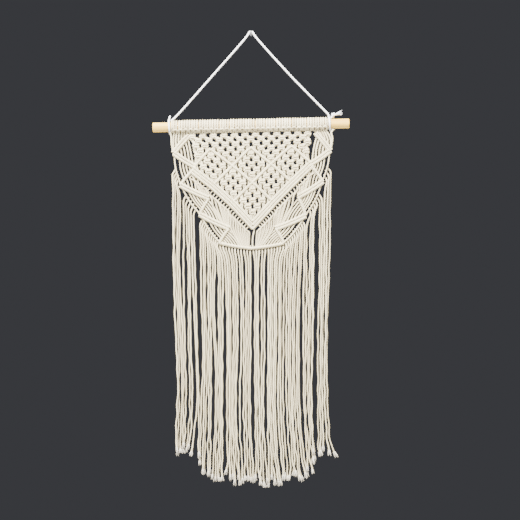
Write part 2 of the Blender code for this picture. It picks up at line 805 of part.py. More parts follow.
def ridged_solid(ribbons, dips, mid_y):
    """Points and faces of the closed solid whose front and back swell over each ribbon."""
    flat, faces = part_pinched_corners(*flat_union(ribbons, dips))
    rise = rises_over(flat, ribbons)
    counts = edge_counts(faces)
    rim = {v for edge, n in counts.items() if n == 1 for v in edge}
    bridged = {v for edge, n in counts.items() if n == 2 and edge[0] in rim and edge[1] in rim for v in edge}
    points, front, back = [], {}, {}
    for v in sorted({v for face in faces for v in face}):
        x, z = flat[v]
        swell = 0.0 if v in rim and v not in bridged else (LEAST_RISE if v in rim else rise[v])
        middle = mid_y(x, z)
        front[v] = back[v] = len(points)
        points.append((x, middle - swell, DOWEL_Z + z))
        if swell:
            back[v] = len(points)
            points.append((x, middle + swell, DOWEL_Z + z))
    solid = [tuple(front[v] for v in face) for face in faces]
    solid += [tuple(back[v] for v in reversed(face)) for face in faces]
    for (a, b), n in counts.items():
        if n == 1:
            wall = list(dict.fromkeys((front[a], front[b], back[b], back[a])))
            if len(wall) > 2:
                solid.append(tuple(wall))
    return points, solid


def panel_mid_y(x, z):
    """The panel hangs from the dowel's front, and its vines curl a little forward."""
    return PANEL_Y + 0.012 * max(-z - 20.0, 0.0) ** 0.9 - 1.6 * max(abs(x) - 95.0, 0.0) / 40.0


def build_panel(finish):
    ribbons = field_ribbons() + bar_ribbons() + vine_ribbons(-1) + vine_ribbons(1)
    points, faces = ridged_solid(ribbons, creases(-1) + creases(1), panel_mid_y)
    make_object("knotted_panel", points, faces, finish)


# ---------------------------------------------------------------- fringe


def outline(drop):
    drops = [row[0] for row in OUTLINE]
    return tuple(float(np.interp(drop, drops, [row[i] for row in OUTLINE])) for i in (1, 2))


def rank_x(rank, drop):
    """Where a strand hangs if the strands are evenly spread; rank 0 is the left edge."""
    left, right = outline(drop)
    return left + rank * (right - left) / STRANDS


def slot_rank(slot):
    """Between which two strands a slot opens."""
    top, top_x, bottom, bottom_x, _ = slot
    left, right = outline((top + bottom) / 2)
    return round(STRANDS * ((top_x + bottom_x) / 2 - left) / (right - left))


def ease(t):
    t = min(max(t, 0.0), 1.0)
    return t * t * (3 - 2 * t)


def strand_x(index, drop):
    """The x of a strand at a drop: evenly spread, then drawn aside by the slots."""
    middle = index + 0.5
    ranks, shifts, push = [-1.0], [0.0], 0.0
    for slot in sorted(SLOTS, key=slot_rank):
        top, top_x, bottom, bottom_x, width = slot
        open_share = ease((drop - top + SLOT_FADE) / SLOT_FADE) * ease((bottom + SLOT_FADE - drop) / SLOT_FADE)
        rank = slot_rank(slot)
        if open_share <= 0:
            continue
        x = np.interp(drop, (top, bottom), (top_x, bottom_x))
        ranks.append(rank + 0.01 * len(ranks))
        shifts.append(open_share * (x - rank_x(rank, drop)))
        away = abs(middle - rank) - 0.5
        push += math.copysign(open_share * width / 2 * math.exp(-away / SLOT_REACH), middle - rank)
    ranks.append(STRANDS + 1.0)
    shifts.append(0.0)
    return rank_x(middle, drop) + float(np.interp(middle, ranks, shifts)) + push


def tip_drop(x, chance):
    xs = [row[0] for row in TIP_LINE]
    return float(np.interp(x, xs, [row[1] for row in TIP_LINE])) - chance.uniform(0, TIP_SPREAD)


def strand_route(index, root, outward, layer, chance):
    """Points (x, y, z) down one strand, from just below its root to its tip."""
    sway = chance.uniform(0, 2 * math.pi)
    hang = root[1] - ROOT_FALL
    end_x = strand_x(index, -hang)
    handles = (root, root + outward * 3.5, np.array((end_x, hang + 12)), np.array((end_x, hang)))
    route = []
    for t in (0.3, 0.62, 1.0):
        weights = ((1 - t) ** 3, 3 * t * (1 - t) ** 2, 3 * t * t * (1 - t), t**3)
        x, z = sum(w * h for w, h in zip(weights, handles))
        route.append((x, FRINGE_Y + layer * LAYER_STEP * ease(t), z))
    tip = tip_drop(strand_x(index, 540), chance)
    pieces = max(2, round((tip + hang) / STRAND_STEP))
    for k in range(1, pieces + 1):
        drop = -hang + (tip + hang) * k / pieces
        x = strand_x(index, drop) + 0.7 * math.sin(sway + drop / 40)
        route.append((x, FRINGE_Y + layer * LAYER_STEP + 0.3 * math.sin(sway + drop / 50), -drop))
    return route


def fringe_solid(rim, indices, chance):
    """A backing strip along the rim, with one strand rooted in its outer side for each index."""
    reach = np.linalg.norm(np.diff(rim, axis=0), axis=1).sum()
    share = np.array([(k + 0.5) / len(indices) for k in range(len(indices))])
    half_root = FRINGE_HALF / reach
    sections = [0.0]
    for s in share:
        sections += [s - half_root, s + half_root]
    sections.append(1.0)
    points, faces, corners = [], [], []
    for s in sections:
        here = along(rim, s)
        ahead = along(rim, min(s + 0.02, 1.0)) - along(rim, max(s - 0.02, 0.0))
        ahead /= np.linalg.norm(ahead)
        outward = np.array((ahead[1], -ahead[0]))
        corners.append(len(points))
        for sign, y in ((-1, -1), (1, -1), (1, 1), (-1, 1)):
            x, z = here + sign * BACKING_HALF * outward
            points.append((x, FRINGE_Y + y * BACKING_THICK, DOWEL_Z + z))
    for i, (a, b) in enumerate(zip(corners, corners[1:])):
        faces.append((a, b, b + 1, a + 1))
        faces.append((a + 3, b + 3, b, a))
        faces.append((a + 2, b + 2, b + 3, a + 3))
        if i % 2 == 0:
            faces.append((a + 1, b + 1, b + 2, a + 2))
    faces.append(tuple(corners[0] + k for k in range(4)))
    faces.append(tuple(corners[-1] + k for k in range(4)))
    for k, index in enumerate(indices):
        a, b = corners[2 * k + 1], corners[2 * k + 2]
        start = (np.array(points[a + 1]) + np.array(points[b + 1]))[[0, 2]] / 2 - (0, DOWEL_Z)
        across = np.array(points[b + 1])[[0, 2]] - np.array(points[a + 1])[[0, 2]]
        across /= np.linalg.norm(across)
        layer = 1 if index % 2 else -1
        route = strand_route(index, start, np.array((across[1], -across[0])), layer, chance)
        add_strand(points, faces, (a + 1, b + 1, b + 2, a + 2), start, route)
    return points, faces


def add_strand(points, faces, root, start, route):
    """A four-sided strand from a root rectangle (left front, right front, right back, left back)."""
    last = root
    previous = np.array((start[0], start[1]))
    for k, (x, y, z) in enumerate(route):
        following = route[min(k + 1, len(route) - 1)]
        ahead = np.array((following[0], following[2])) - previous
        ahead /= np.linalg.norm(ahead)
        right = np.array((-ahead[1], ahead[0]))
        turn = 0.0 if k < 2 else math.radians(22) * (k - 1)
        now = []
        for quarter in (225, 315, 45, 135):
            angle = math.radians(quarter) + turn
            sideways, back = FRINGE_RADIUS * math.cos(angle), FRINGE_RADIUS * math.sin(angle)
            now.append(len(points))
            points.append((x + right[0] * sideways, y + back, DOWEL_Z + z + right[1] * sideways))
        for j in range(4):
            faces.append((last[j], last[(j + 1) % 4], now[(j + 1) % 4], now[j]))
        last = now
        previous = np.array((x, z))
    faces.append(tuple(last))


def rim_beside(strand, start, end, clear):
    """The backing strip's line: beside part of an outermost strand, on its outer side."""
    shares = np.linspace(start, end, 5)
    piece = np.array([along(strand, s) for s in shares])
    return offset_route(piece, clear)


def build_fringe(finish):
    chance = random.Random(11)
    beside = STRAND_HALF + 2 * GAP + BACKING_HALF
    under = BAR_HALF + 2 * GAP + BACKING_HALF
    left, right = fan_strands(-1), fan_strands(1)
    left_bars, right_bars = vine_bars(-1), vine_bars(1)
    right_inner = STRANDS - RIGHT_OUTER_COUNT - RIGHT_INNER_COUNT
    left_shoulder = [along(left[6][0], s) for s in (0.15, 0.55, 0.9)]
    right_shoulder = [along(right[6][0], s) for s in (0.9, 0.55, 0.15)]
    bottom = [*left_bars[7], *right_bars[7][-2::-1]]
    curtain = offset_route(left_shoulder + bottom + right_shoulder, -under)
    groups = (
        ("fringe_left_outer", rim_beside(left[2][0], 0.35, 0.97, -beside), range(LEFT_OUTER_COUNT)),
        (
            "fringe_left_inner",
            rim_beside(left[4][0], 0.25, 0.92, -beside),
            range(LEFT_OUTER_COUNT, LEFT_OUTER_COUNT + LEFT_INNER_COUNT),
        ),
        ("fringe_curtain", curtain, range(LEFT_OUTER_COUNT + LEFT_INNER_COUNT, right_inner)),
        (
            "fringe_right_inner",
            rim_beside(right[4][0], 0.25, 0.92, beside)[::-1],
            range(right_inner, STRANDS - RIGHT_OUTER_COUNT),
        ),
        (
            "fringe_right_outer",
            rim_beside(right[2][0], 0.35, 0.97, beside)[::-1],
            range(STRANDS - RIGHT_OUTER_COUNT, STRANDS),
        ),
    )
    for name, rim, indices in groups:
        points, faces = fringe_solid(rim, list(indices), chance)
        make_object(name, points, faces, finish)


def main():
    clear_scene()
    cotton = material("cotton_rope", COTTON, 0.95)
    build_dowel()
    build_hook()
    build_hanger()
    build_heading(cotton)
    build_panel(cotton)
    build_fringe(cotton)


main()
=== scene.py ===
"""Dresses the macrame wall hanging: every cord is a twisted three-ply rope on its own route.

Lengths are millimetres until a mesh is made; the frame is the CAD's: the front faces -Y, +Z is up.
"front" is the distance of a point in front of the knotted panel's middle surface.
"drop" is the distance below the dowel's middle, and the z of a panel or fringe point is minus that.
"""

import math
import random

import bpy
import numpy as np
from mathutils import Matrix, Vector


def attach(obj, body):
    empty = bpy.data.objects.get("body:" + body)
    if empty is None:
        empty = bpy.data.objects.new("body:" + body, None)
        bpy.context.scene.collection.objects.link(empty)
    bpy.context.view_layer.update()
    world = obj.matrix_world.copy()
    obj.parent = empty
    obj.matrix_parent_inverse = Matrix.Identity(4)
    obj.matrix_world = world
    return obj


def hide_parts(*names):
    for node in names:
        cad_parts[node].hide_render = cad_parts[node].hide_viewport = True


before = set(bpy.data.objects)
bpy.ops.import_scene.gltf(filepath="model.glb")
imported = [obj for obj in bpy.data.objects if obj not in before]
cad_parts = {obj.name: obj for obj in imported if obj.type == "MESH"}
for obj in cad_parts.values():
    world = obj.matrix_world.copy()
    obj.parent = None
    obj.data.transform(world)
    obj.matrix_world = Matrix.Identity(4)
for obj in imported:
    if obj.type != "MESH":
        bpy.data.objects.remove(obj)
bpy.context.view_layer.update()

MM = 0.001
TURN = 2 * math.pi
GAP = 0.35  # the part's clearance between two nodes

# ---- measures

# As in the part's source, but for the ropes' own, finer turns round the dowel, and what is fitted to
# the ropes: the right vine's start, lower fans, border strands, four slots and the fringe's layers.

DOWEL_RADIUS = 8.0
DOWEL_Y = -12.9
DOWEL_Z = -155.0
DOWEL_SLOPE = 0.0208  # rises to the right

# Hanger cord
CORD_RADIUS = 2.0
WIRE_RADIUS = 1.2  # of the hook
CORD_SEAT_Y = -5.2  # where it crosses the hook
WRAP_RADIUS = 10.8
WRAP_PITCH = 4.5
WRAP_STEPS = 24
WRAP_LEFT_X = -138.0
WRAP_RIGHT_X = 130.6

# Heading
HEADING_START = -131.0
HEADING_END = 128.0
HEADING_KNOTS = 30
HEADING_PITCH = (HEADING_END - HEADING_START) / HEADING_KNOTS
HEADING_RIDGE = 11.0
CORD_OUT = 2.1  # a knot's two cord ends leave it this far from its middle

# Knotted panel
PANEL_Y = -16.2
PANEL_TOP = HEADING_RIDGE + GAP
STRAND_HALF = 1.65
BAR_HALF = 2.2

# The square-knot field: where the knot columns fall at each drop.
FIELD_LEVELS = (
    # drop, centre x, column pitch, rise to the right
    (0.0, -1.0, 17.8, 0.021),
    (14.0, -1.0, 17.8, 0.030),
    (31.0, 0.3, 17.2, 0.038),
    (47.0, -0.2, 16.8, 0.042),
    (66.0, 1.3, 16.2, 0.050),
    (95.5, 2.3, 15.9, 0.036),
    (126.0, 2.8, 15.8, 0.022),
    (160.0, 2.8, 15.7, 0.0),
)
CORNER_DROPS = (37.1, 66.3, 95.5, 126.5, 160.5)  # the diamonds' corners, down to the V's tip
FIELD_ROWS = (15.8, 22.9, 31.2, 39.4, 47.4, 55.6)  # square knots above the diamonds
# The diamonds: their middles' level in CORNER_DROPS, and their middles' half columns.
DIAMONDS = ((1, (-8, 0, 8)), (2, (-4, 4)), (3, (0,)))
DIAMOND_HALF = 4  # half columns from a diamond's middle to its side corner
DIAMOND_ROW_STEP = 0.288  # between two rows of knots, as a share of half a diamond's height
BORDER_ROWS = 3
EDGE_COLUMN = 5.7  # where the outermost strands run down beside the field, in columns

# The turning points of the half-hitch bars down each side: inner and outer in turn, to the middle.
VINE_POINTS = (
    # left x, left drop, right x, right drop
    (-103.3, 16.5, 108.3, 12.6),
    (-129.6, 46.6, 132.6, 42.4),
    (-92.7, 69.8, 98.6, 65.6),
    (-118.6, 99.9, 120.4, 94.1),
    (-70.8, 122.2, 78.8, 119.7),
    (-85.9, 149.1, 91.9, 151.1),
    (-36.9, 172.6, 41.1, 172.6),
    (-53.2, 197.2, 55.3, 197.7),
    (0.0, 206.1, 0.0, 206.1),
)
VINE_ROWS = (2, 2, 1, 2, 1, 2, 1, 1)  # rows of half hitches in each bar, from the top
BAR_BOW = 0.02
# The fans of strands between two bars (bar 0 is the first; -1 is the heading).
VINE_FANS = (
    # upper bar, from, to, lower bar, from, to, strands
    (-1, 0.0, 1.0, 0, 0.97, 0.10, 6),
    (0, 0.93, 0.10, 1, 0.04, 0.90, 6),
    (1, 0.03, 0.88, 2, 0.97, 0.16, 6),
    (2, 0.94, 0.12, 3, 0.06, 0.70, 6),
    (3, 0.03, 0.92, 4, 0.98, 0.14, 7),
    (4, 0.94, 0.08, 5, 0.06, 0.80, 7),
    (5, 0.04, 0.92, 6, 0.97, 0.16, 6),
    (6, 0.94, 0.08, 7, 0.06, 0.74, 8),
)
# The strands that leave the V border and end on a bar of the vine.
BORDER_STRANDS = (
    # from, to (share of the border, from its top), bar, from, to, strands, bow of the first
    (0.04, 0.27, 3, 0.74, 0.98, 6, -0.02),
    (0.30, 0.39, 5, 0.80, 0.87, 3, -0.09),
    (0.43, 0.59, 5, 0.89, 0.99, 5, -0.02),
    (0.63, 0.945, 7, 0.70, 0.93, 9, -0.13),
)
SLOTTED_FANS = (1, 3, 5)  # the upper bars of the fans that have a slot inside their outermost strand
OUTER_SLOT = 0.6  # the slot's width, in strands
FAN_BOW = 0.05
HEADING_STRANDS_X = ((-129.6, -106.6), (126.4, 106.4))  # vine strands at the heading
SIDE_STRANDS = 6  # the cord ends at each end of the heading that go to the vine
FIELD_STRANDS = 2 * (HEADING_KNOTS - SIDE_STRANDS)

# Fringe
STRANDS = 60
FRINGE_Y = -15.6
LAYER_STEP = 1.5  # alternate strands hang this far in front and behind
BACKING_HALF = 1.3
ROOT_PUSH = 3.5  # how far a strand sets out from its bar before it turns down
ROOT_FALL = 26.0  # over this drop a strand turns to hang straight
STRAND_STEP = 110.0
SWAY_ACROSS = 0.7
SWAY_DEEP = 0.3
TIP_SPREAD = 6.0
TIP_LEVEL = 540.0  # where a strand's x is taken, to find its end in the tip line
OUTLINE = (
    # drop, left x, right x
    (60.0, -133.0, 136.7), (150.0, -131.6, 134.5), (235.0, -129.5, 132.5), (293.0, -128.0, 130.8),
    (343.0, -126.6, 129.4), (420.0, -124.1, 128.3), (478.0, -124.1, 128.3), (511.0, -125.4, 130.2),
    (545.0, -128.6, 135.0), (575.0, -129.5, 141.5),
)
SLOTS = (
    # top drop, its x, bottom drop, its x, width
    (100, -115.2, 225, -115.0, 2.0), (205, -106.5, 490, -103.6, 2.2), (200, -99.8, 310, -98.0, 2.0),
    (330, -96.2, 480, -93.4, 3.4), (485, -95.0, 575, -94.0, 5.5), (150, -91.6, 390, -86.8, 5.0),
    (340, -62.5, 545, -64.2, 2.2), (268, -45.4, 525, -43.2, 4.0), (530, -45.6, 605, -43.4, 3.2),
    (250, -18.6, 500, -20.8, 2.0), (460, -16.2, 575, -14.0, 2.2), (210, -10.2, 325, -9.8, 1.6),
    (205, 3.8, 560, 2.6, 3.0), (205, 14.3, 440, 15.1, 1.7), (205, 24.0, 485, 24.6, 2.6),
    (380, 41.8, 550, 43.8, 1.2), (440, 57.0, 565, 56.0, 2.0), (245, 84.8, 530, 86.2, 2.4),
    (150, 99.0, 245, 98.4, 2.2), (140, 109.0, 550, 105.6, 5.2),
)
SLOT_EXTRA = 1.0  # the slots open wider than in the part, as these strands wave
SLOT_FADE = 30.0
SLOT_REACH = 4.0  # strands over which a slot's push dies away
PAIR = 0.08  # strands hang in twos: how far each leans to its neighbour, in strands
TIP_LINE = (
    # x, drop of the strands' ends
    (-130, 556), (-110, 556), (-94, 561), (-88, 575), (-72, 592), (-57, 606), (-48, 598), (-14, 608),
    (12, 607), (50, 605), (62, 598), (78, 597), (92, 586), (101, 566), (108, 558), (142, 561),
)
GROUP_COUNTS = (4, 5, 42, 6, 3)  # strands in each group, from the left

# Ropes
CORD = 1.78  # radius of the cotton cord
KNOT_CORD = 1.84
BORDER_CORD = 1.7
FAN_CORD = 1.46  # the fans' strands are pulled tight
LOWER_FAN_CORD = 1.34
OPEN_FAN_CORD = 1.85  # but not those of the right side's second fan
FRINGE_CORD = 1.52
LAY = 13.0  # one turn of a three-ply cord
STEP = 1.45  # between two rings of a cord's points
FINE_STEP = 1.25
PLY_DEPTH = 0.24  # of the grooves between the plies, as a share of the radius
SEED = random.Random(4)

# ---- layout


def table_at(rows, at, *columns):
    """The values of a table's columns where its first column has a value."""
    keys = [row[0] for row in rows]
    return [float(np.interp(at, keys, [row[i] for row in rows])) for i in columns]


def dowel_z(x):
    """World height of the dowel's centre line."""
    return DOWEL_Z + DOWEL_SLOPE * x


def wrap_round_dowel(start_x):
    """One turn round the dowel, forwards over the top, moving one pitch to the right."""
    turn = []
    for k in range(WRAP_STEPS + 1):
        angle = math.pi / 2 + TURN * k / WRAP_STEPS
        x = start_x + WRAP_PITCH * k / WRAP_STEPS
        across = DOWEL_Y + WRAP_RADIUS * math.cos(angle)
        turn.append((x, across, dowel_z(x) + WRAP_RADIUS * math.sin(angle)))
    return turn


def heading_strand_x(number):
    """Where the cord ends leave the heading, from 0 at the left to 59 at the right."""
    return HEADING_START + HEADING_PITCH * (number // 2 + 0.5) + (CORD_OUT if number % 2 else -CORD_OUT)


def field_point(column, drop):
    """(x, z) of a knot column at a nominal drop."""
    centre, pitch, rise = table_at(FIELD_LEVELS, drop, 1, 2, 3)
    x = centre + column * pitch
    return np.array((x, rise * x - drop))


def reach_along(points):
    """The distance from the first point to each point, along the points."""
    return np.concatenate([[0], np.cumsum(np.linalg.norm(np.diff(points, axis=0), axis=1))])


def along(route, share):
    """The point at a share of a polyline's length."""
    route = np.asarray(route, float)
    reach = reach_along(route)
    return np.array([np.interp(share * reach[-1], reach, column) for column in route.T])


def offset_route(route, offset):
    """A polyline moved sideways to its left, mitred at its bends."""
    route = np.asarray(route, float)
    steps = np.diff(route, axis=0)
    steps /= np.linalg.norm(steps, axis=1)[:, None]
    normals = np.stack([-steps[:, 1], steps[:, 0]], axis=1)
    before = np.concatenate([normals[:1], normals])
    after = np.concatenate([normals, normals[-1:]])
    mitre = (before + after) / (1 + np.sum(before * after, axis=1))[:, None]
    return route + offset * mitre


def bowed(start, end, bow, pieces):
    """A shallow curve between two points, bulging to its left by a share of its length."""
    start, end = np.asarray(start, float), np.asarray(end, float)
    line = end - start
    left = np.array((-line[1], line[0]))
    shares = np.linspace(0, 1, pieces + 1)
    return np.array([start + line * s + left * bow * 4 * s * (1 - s) for s in shares])


def diamond_side(half_column_a, level_a, half_column_b, level_b):
    """Points at every half column along one or more diamond sides that lie in one line."""
    steps = abs(half_column_b - half_column_a)
    shares = np.linspace(0, 1, steps + 1)
    columns = half_column_a + (half_column_b - half_column_a) * shares
    levels = level_a + (level_b - level_a) * shares
    drops = np.interp(levels, range(len(CORNER_DROPS)), CORNER_DROPS)
    return [field_point(c / 2, d) for c, d in zip(columns, drops)]


def rim_above_diamonds(half_column):
    """The point of the diamonds' upper zigzag at a half column."""
    apex = min(DIAMONDS[0][1], key=lambda at: abs(at - half_column))
    share = abs(half_column - apex) / DIAMOND_HALF
    drop = CORNER_DROPS[0] + share * (CORNER_DROPS[1] - CORNER_DROPS[0])
    return field_point(half_column / 2, drop)


def upper_knots():
    """Square knots above the diamonds: {(half column, row): point}."""
    columns = (
        range(-11, 12, 2),
        range(-10, 11, 2),
        range(-11, 12, 2),
        (-10, -6, -4, -2, 2, 4, 6, 10),
        (-11, -5, -3, 3, 5, 11),
        (-4, 4),
    )
    return {(c, r): field_point(c / 2, FIELD_ROWS[r]) for r, row in enumerate(columns) for c in row}


def border_row(row):
    """One row of the V border, from its left end to its right end; row 0 is the uppermost."""
    corners = ((-12, 1), (-8, 2), (-4, 3), (0, 4), (4, 3), (8, 2), (12, 1))
    first = [field_point(half_column / 2, CORNER_DROPS[level]) for half_column, level in corners]
    return offset_route(first, -2 * row * BAR_HALF)


def vine_bars(side):
    """Routes of one side's bars, from the top. Side is -1 for the left and 1 for the right."""
    x_at, drop_at = (0, 1) if side < 0 else (2, 3)
    turns = [(row[x_at], -row[drop_at]) for row in VINE_POINTS]
    return [bowed(a, b, BAR_BOW * side, 3) for a, b in zip(turns, turns[1:])]


def heading_strand_top(side, share):
    near, far = HEADING_STRANDS_X[side > 0]
    x = near + share * (far - near)
    return np.array((x, DOWEL_SLOPE * x - PANEL_TOP - GAP))


def fan_strands(side):
    """Routes of every strand between two bars, as lists of fans, outermost strand first."""
    bars = vine_bars(side)
    fans = []
    for upper, u0, u1, lower, v0, v1, count in VINE_FANS:
        fan = []
        slot = OUTER_SLOT if upper in SLOTTED_FANS else 0.0
        for k in range(count):
            share = (k + slot * (k > 0)) / (count - 1 + slot)
            leave = u0 + share * (u1 - u0)
            start = heading_strand_top(side, share) if upper < 0 else along(bars[upper], leave)
            end = along(bars[lower], v0 + share * (v1 - v0))
            bow = (FAN_BOW if upper % 2 else -FAN_BOW) * side
            fan.append(bowed(start, end, bow, 3 if k == 0 else 2))
        fans.append(fan)
    return fans


def border_strands(side):
    """Routes of the strands between the V border and the vine, as lists of groups."""
    bars = vine_bars(side)
    rim = border_row(BORDER_ROWS - 1)
    rim = rim[:4] if side < 0 else rim[:2:-1]
    groups = []
    for s0, s1, bar, v0, v1, count, bow in BORDER_STRANDS:
        groups.append([])
        for k in range(count):
            share = k / (count - 1)
            start, end = along(rim, s0 + share * (s1 - s0)), along(bars[bar], v0 + share * (v1 - v0))
            groups[-1].append(bowed(start, end, bow * (1 - share) * -side, 2))
    return groups


def panel_mid_y(x, z):
    """The panel hangs from the dowel's front, and its vines curl a little forward."""
    fall_back = 0.012 * max(-z - 20.0, 0.0) ** 0.9
    curl = 1.6 * max(abs(x) - 95.0, 0.0) / 40.0
    return PANEL_Y + fall_back - curl


def outline(drop):
    """The x of the fringe's left and right edges."""
    return table_at(OUTLINE, drop, 1, 2)


def rank_x(rank, drop):
    """Where a strand hangs if the strands are evenly spread; rank 0 is the left edge."""
    left, right = outline(drop)
    return left + rank * (right - left) / STRANDS


def slot_rank(slot):
    """Between which two strands a slot opens."""
    top, top_x, bottom, bottom_x, _ = slot
    left, right = outline((top + bottom) / 2)
    return round(STRANDS * ((top_x + bottom_x) / 2 - left) / (right - left))


RANKED_SLOTS = sorted(((slot_rank(slot), slot) for slot in SLOTS), key=lambda ranked: ranked[0])
SLOT_RANKS = {rank for rank, _ in RANKED_SLOTS}


def ease(t):
    t = min(max(t, 0.0), 1.0)
    return t * t * (3 - 2 * t)


def strand_x(index, drop):
    """The x of a strand at a drop: evenly spread, leaning to its pair, then drawn aside by the slots."""
    within = index + 1 - index % 2  # the rank inside the strand's pair
    lean = 0.0 if within in SLOT_RANKS else PAIR
    middle = index + 0.5 + (lean if index < within else -lean)
    ranks, shifts, push = [-1.0], [0.0], 0.0
    for rank, (top, top_x, bottom, bottom_x, width) in RANKED_SLOTS:
        opened, closed = (drop - top + SLOT_FADE) / SLOT_FADE, (bottom + SLOT_FADE - drop) / SLOT_FADE
        open_share = ease(opened) * ease(closed)
        if open_share <= 0:
            continue
        x = np.interp(drop, (top, bottom), (top_x, bottom_x))
        ranks.append(rank + 0.01 * len(ranks))
        shifts.append(open_share * (x - rank_x(rank, drop)))
        near = math.exp(-(abs(middle - rank) - 0.5) / SLOT_REACH)
        push += math.copysign(open_share * (width + SLOT_EXTRA) / 2 * near, middle - rank)
    ranks.append(STRANDS + 1.0)
    shifts.append(0.0)
    return rank_x(middle, drop) + float(np.interp(middle, ranks, shifts)) + push


def tip_drop(x, chance):
    return table_at(TIP_LINE, x, 1)[0] - chance.uniform(0, TIP_SPREAD)


def strand_route(index, root, outward, layer, chance):
    """Points (x, y, z) down one strand, from just below its root to its tip."""
    sway = chance.uniform(0, TURN)
    hang = root[1] - ROOT_FALL
    end_x = strand_x(index, -hang)
    handles = (root, root + outward * ROOT_PUSH, np.array((end_x, hang + 12)), np.array((end_x, hang)))
    route = []
    for t in (0.3, 0.62, 1.0):
        weights = ((1 - t) ** 3, 3 * t * (1 - t) ** 2, 3 * t * t * (1 - t), t**3)
        x, z = sum(w * h for w, h in zip(weights, handles))
        route.append((x, FRINGE_Y + layer * LAYER_STEP * ease(t), z))
    tip = tip_drop(strand_x(index, TIP_LEVEL), chance)
    pieces = max(2, round((tip + hang) / STRAND_STEP))
    for k in range(1, pieces + 1):
        drop = -hang + (tip + hang) * k / pieces
        x = strand_x(index, drop) + SWAY_ACROSS * math.sin(sway + drop / 40)
        y = FRINGE_Y + layer * LAYER_STEP + SWAY_DEEP * math.sin(sway + drop / 50)
        route.append((x, y, -drop))
    return route


def rim_beside(strand, start, end, clear):
    """The line where the part has a backing strip: beside an outermost strand, on its outer side."""
    return offset_route([along(strand, s) for s in np.linspace(start, end, 5)], clear)


def placed(points):
    """(x, front, z below the dowel) points put in the frame."""
    return [(x, panel_mid_y(x, z) - front, DOWEL_Z + z) for x, front, z in points]


def polar(degrees, radius):
    return radius * math.cos(math.radians(degrees)), radius * math.sin(math.radians(degrees))


# ---- ropes


def resampled(points, step):
    """Even steps along straight lines between the points, and how far along each one is."""
    reach = reach_along(points)
    at = np.linspace(0, reach[-1], max(2, round(reach[-1] / step)) + 1)
    return np.stack([np.interp(at, reach, column) for column in points.T], axis=1), at


def blended(first, last, t, start, end):
    """From first at start to last at end."""
    return first * (end - t) / (end - start) + last * (t - start) / (end - start)


def smooth(points, step=STEP):
    """A centripetal Catmull-Rom curve through the points, at even steps."""
    p = np.asarray(points, float)
    keep = np.concatenate([[True], np.linalg.norm(np.diff(p, axis=0), axis=1) > 1e-4])
    p = p[keep]
    p = np.vstack([2 * p[0] - p[1], p, 2 * p[-1] - p[-2]])
    dense = []
    for a, b, c, d in zip(p, p[1:], p[2:], p[3:]):
        t0, t1 = 0.0, np.linalg.norm(b - a) ** 0.5
        t2 = t1 + np.linalg.norm(c - b) ** 0.5
        t3 = t2 + np.linalg.norm(d - c) ** 0.5
        count = max(3, int(np.linalg.norm(c - b) / (0.4 * step)) + 1)
        t = np.linspace(t1, t2, count, endpoint=False)[:, None]
        ab, bc, cd = blended(a, b, t, t0, t1), blended(b, c, t, t1, t2), blended(c, d, t, t2, t3)
        dense.append(blended(blended(ab, bc, t, t0, t2), blended(bc, cd, t, t1, t3), t, t1, t2))
    dense.append(p[-2:-1])
    return resampled(np.vstack(dense), step)


def sides_of(path):
    """Two directions across a path at each of its points, that turn no more than the path does."""
    ahead = np.gradient(path, axis=0)
    ahead /= np.linalg.norm(ahead, axis=1)[:, None]
    side = np.empty_like(path)
    now = np.cross(ahead[0], (0.0, 1.0, 0.0))
    if np.linalg.norm(now) < 0.2:
        now = np.cross(ahead[0], (1.0, 0.0, 0.0))
    for i, t in enumerate(ahead):
        now = now - t * (t @ now)
        now = now / math.sqrt(now @ now)
        side[i] = now
    return side, np.cross(ahead, side)


def add_object(name, data):
    made = bpy.data.objects.new(name, data)
    bpy.context.scene.collection.objects.link(made)
    return made


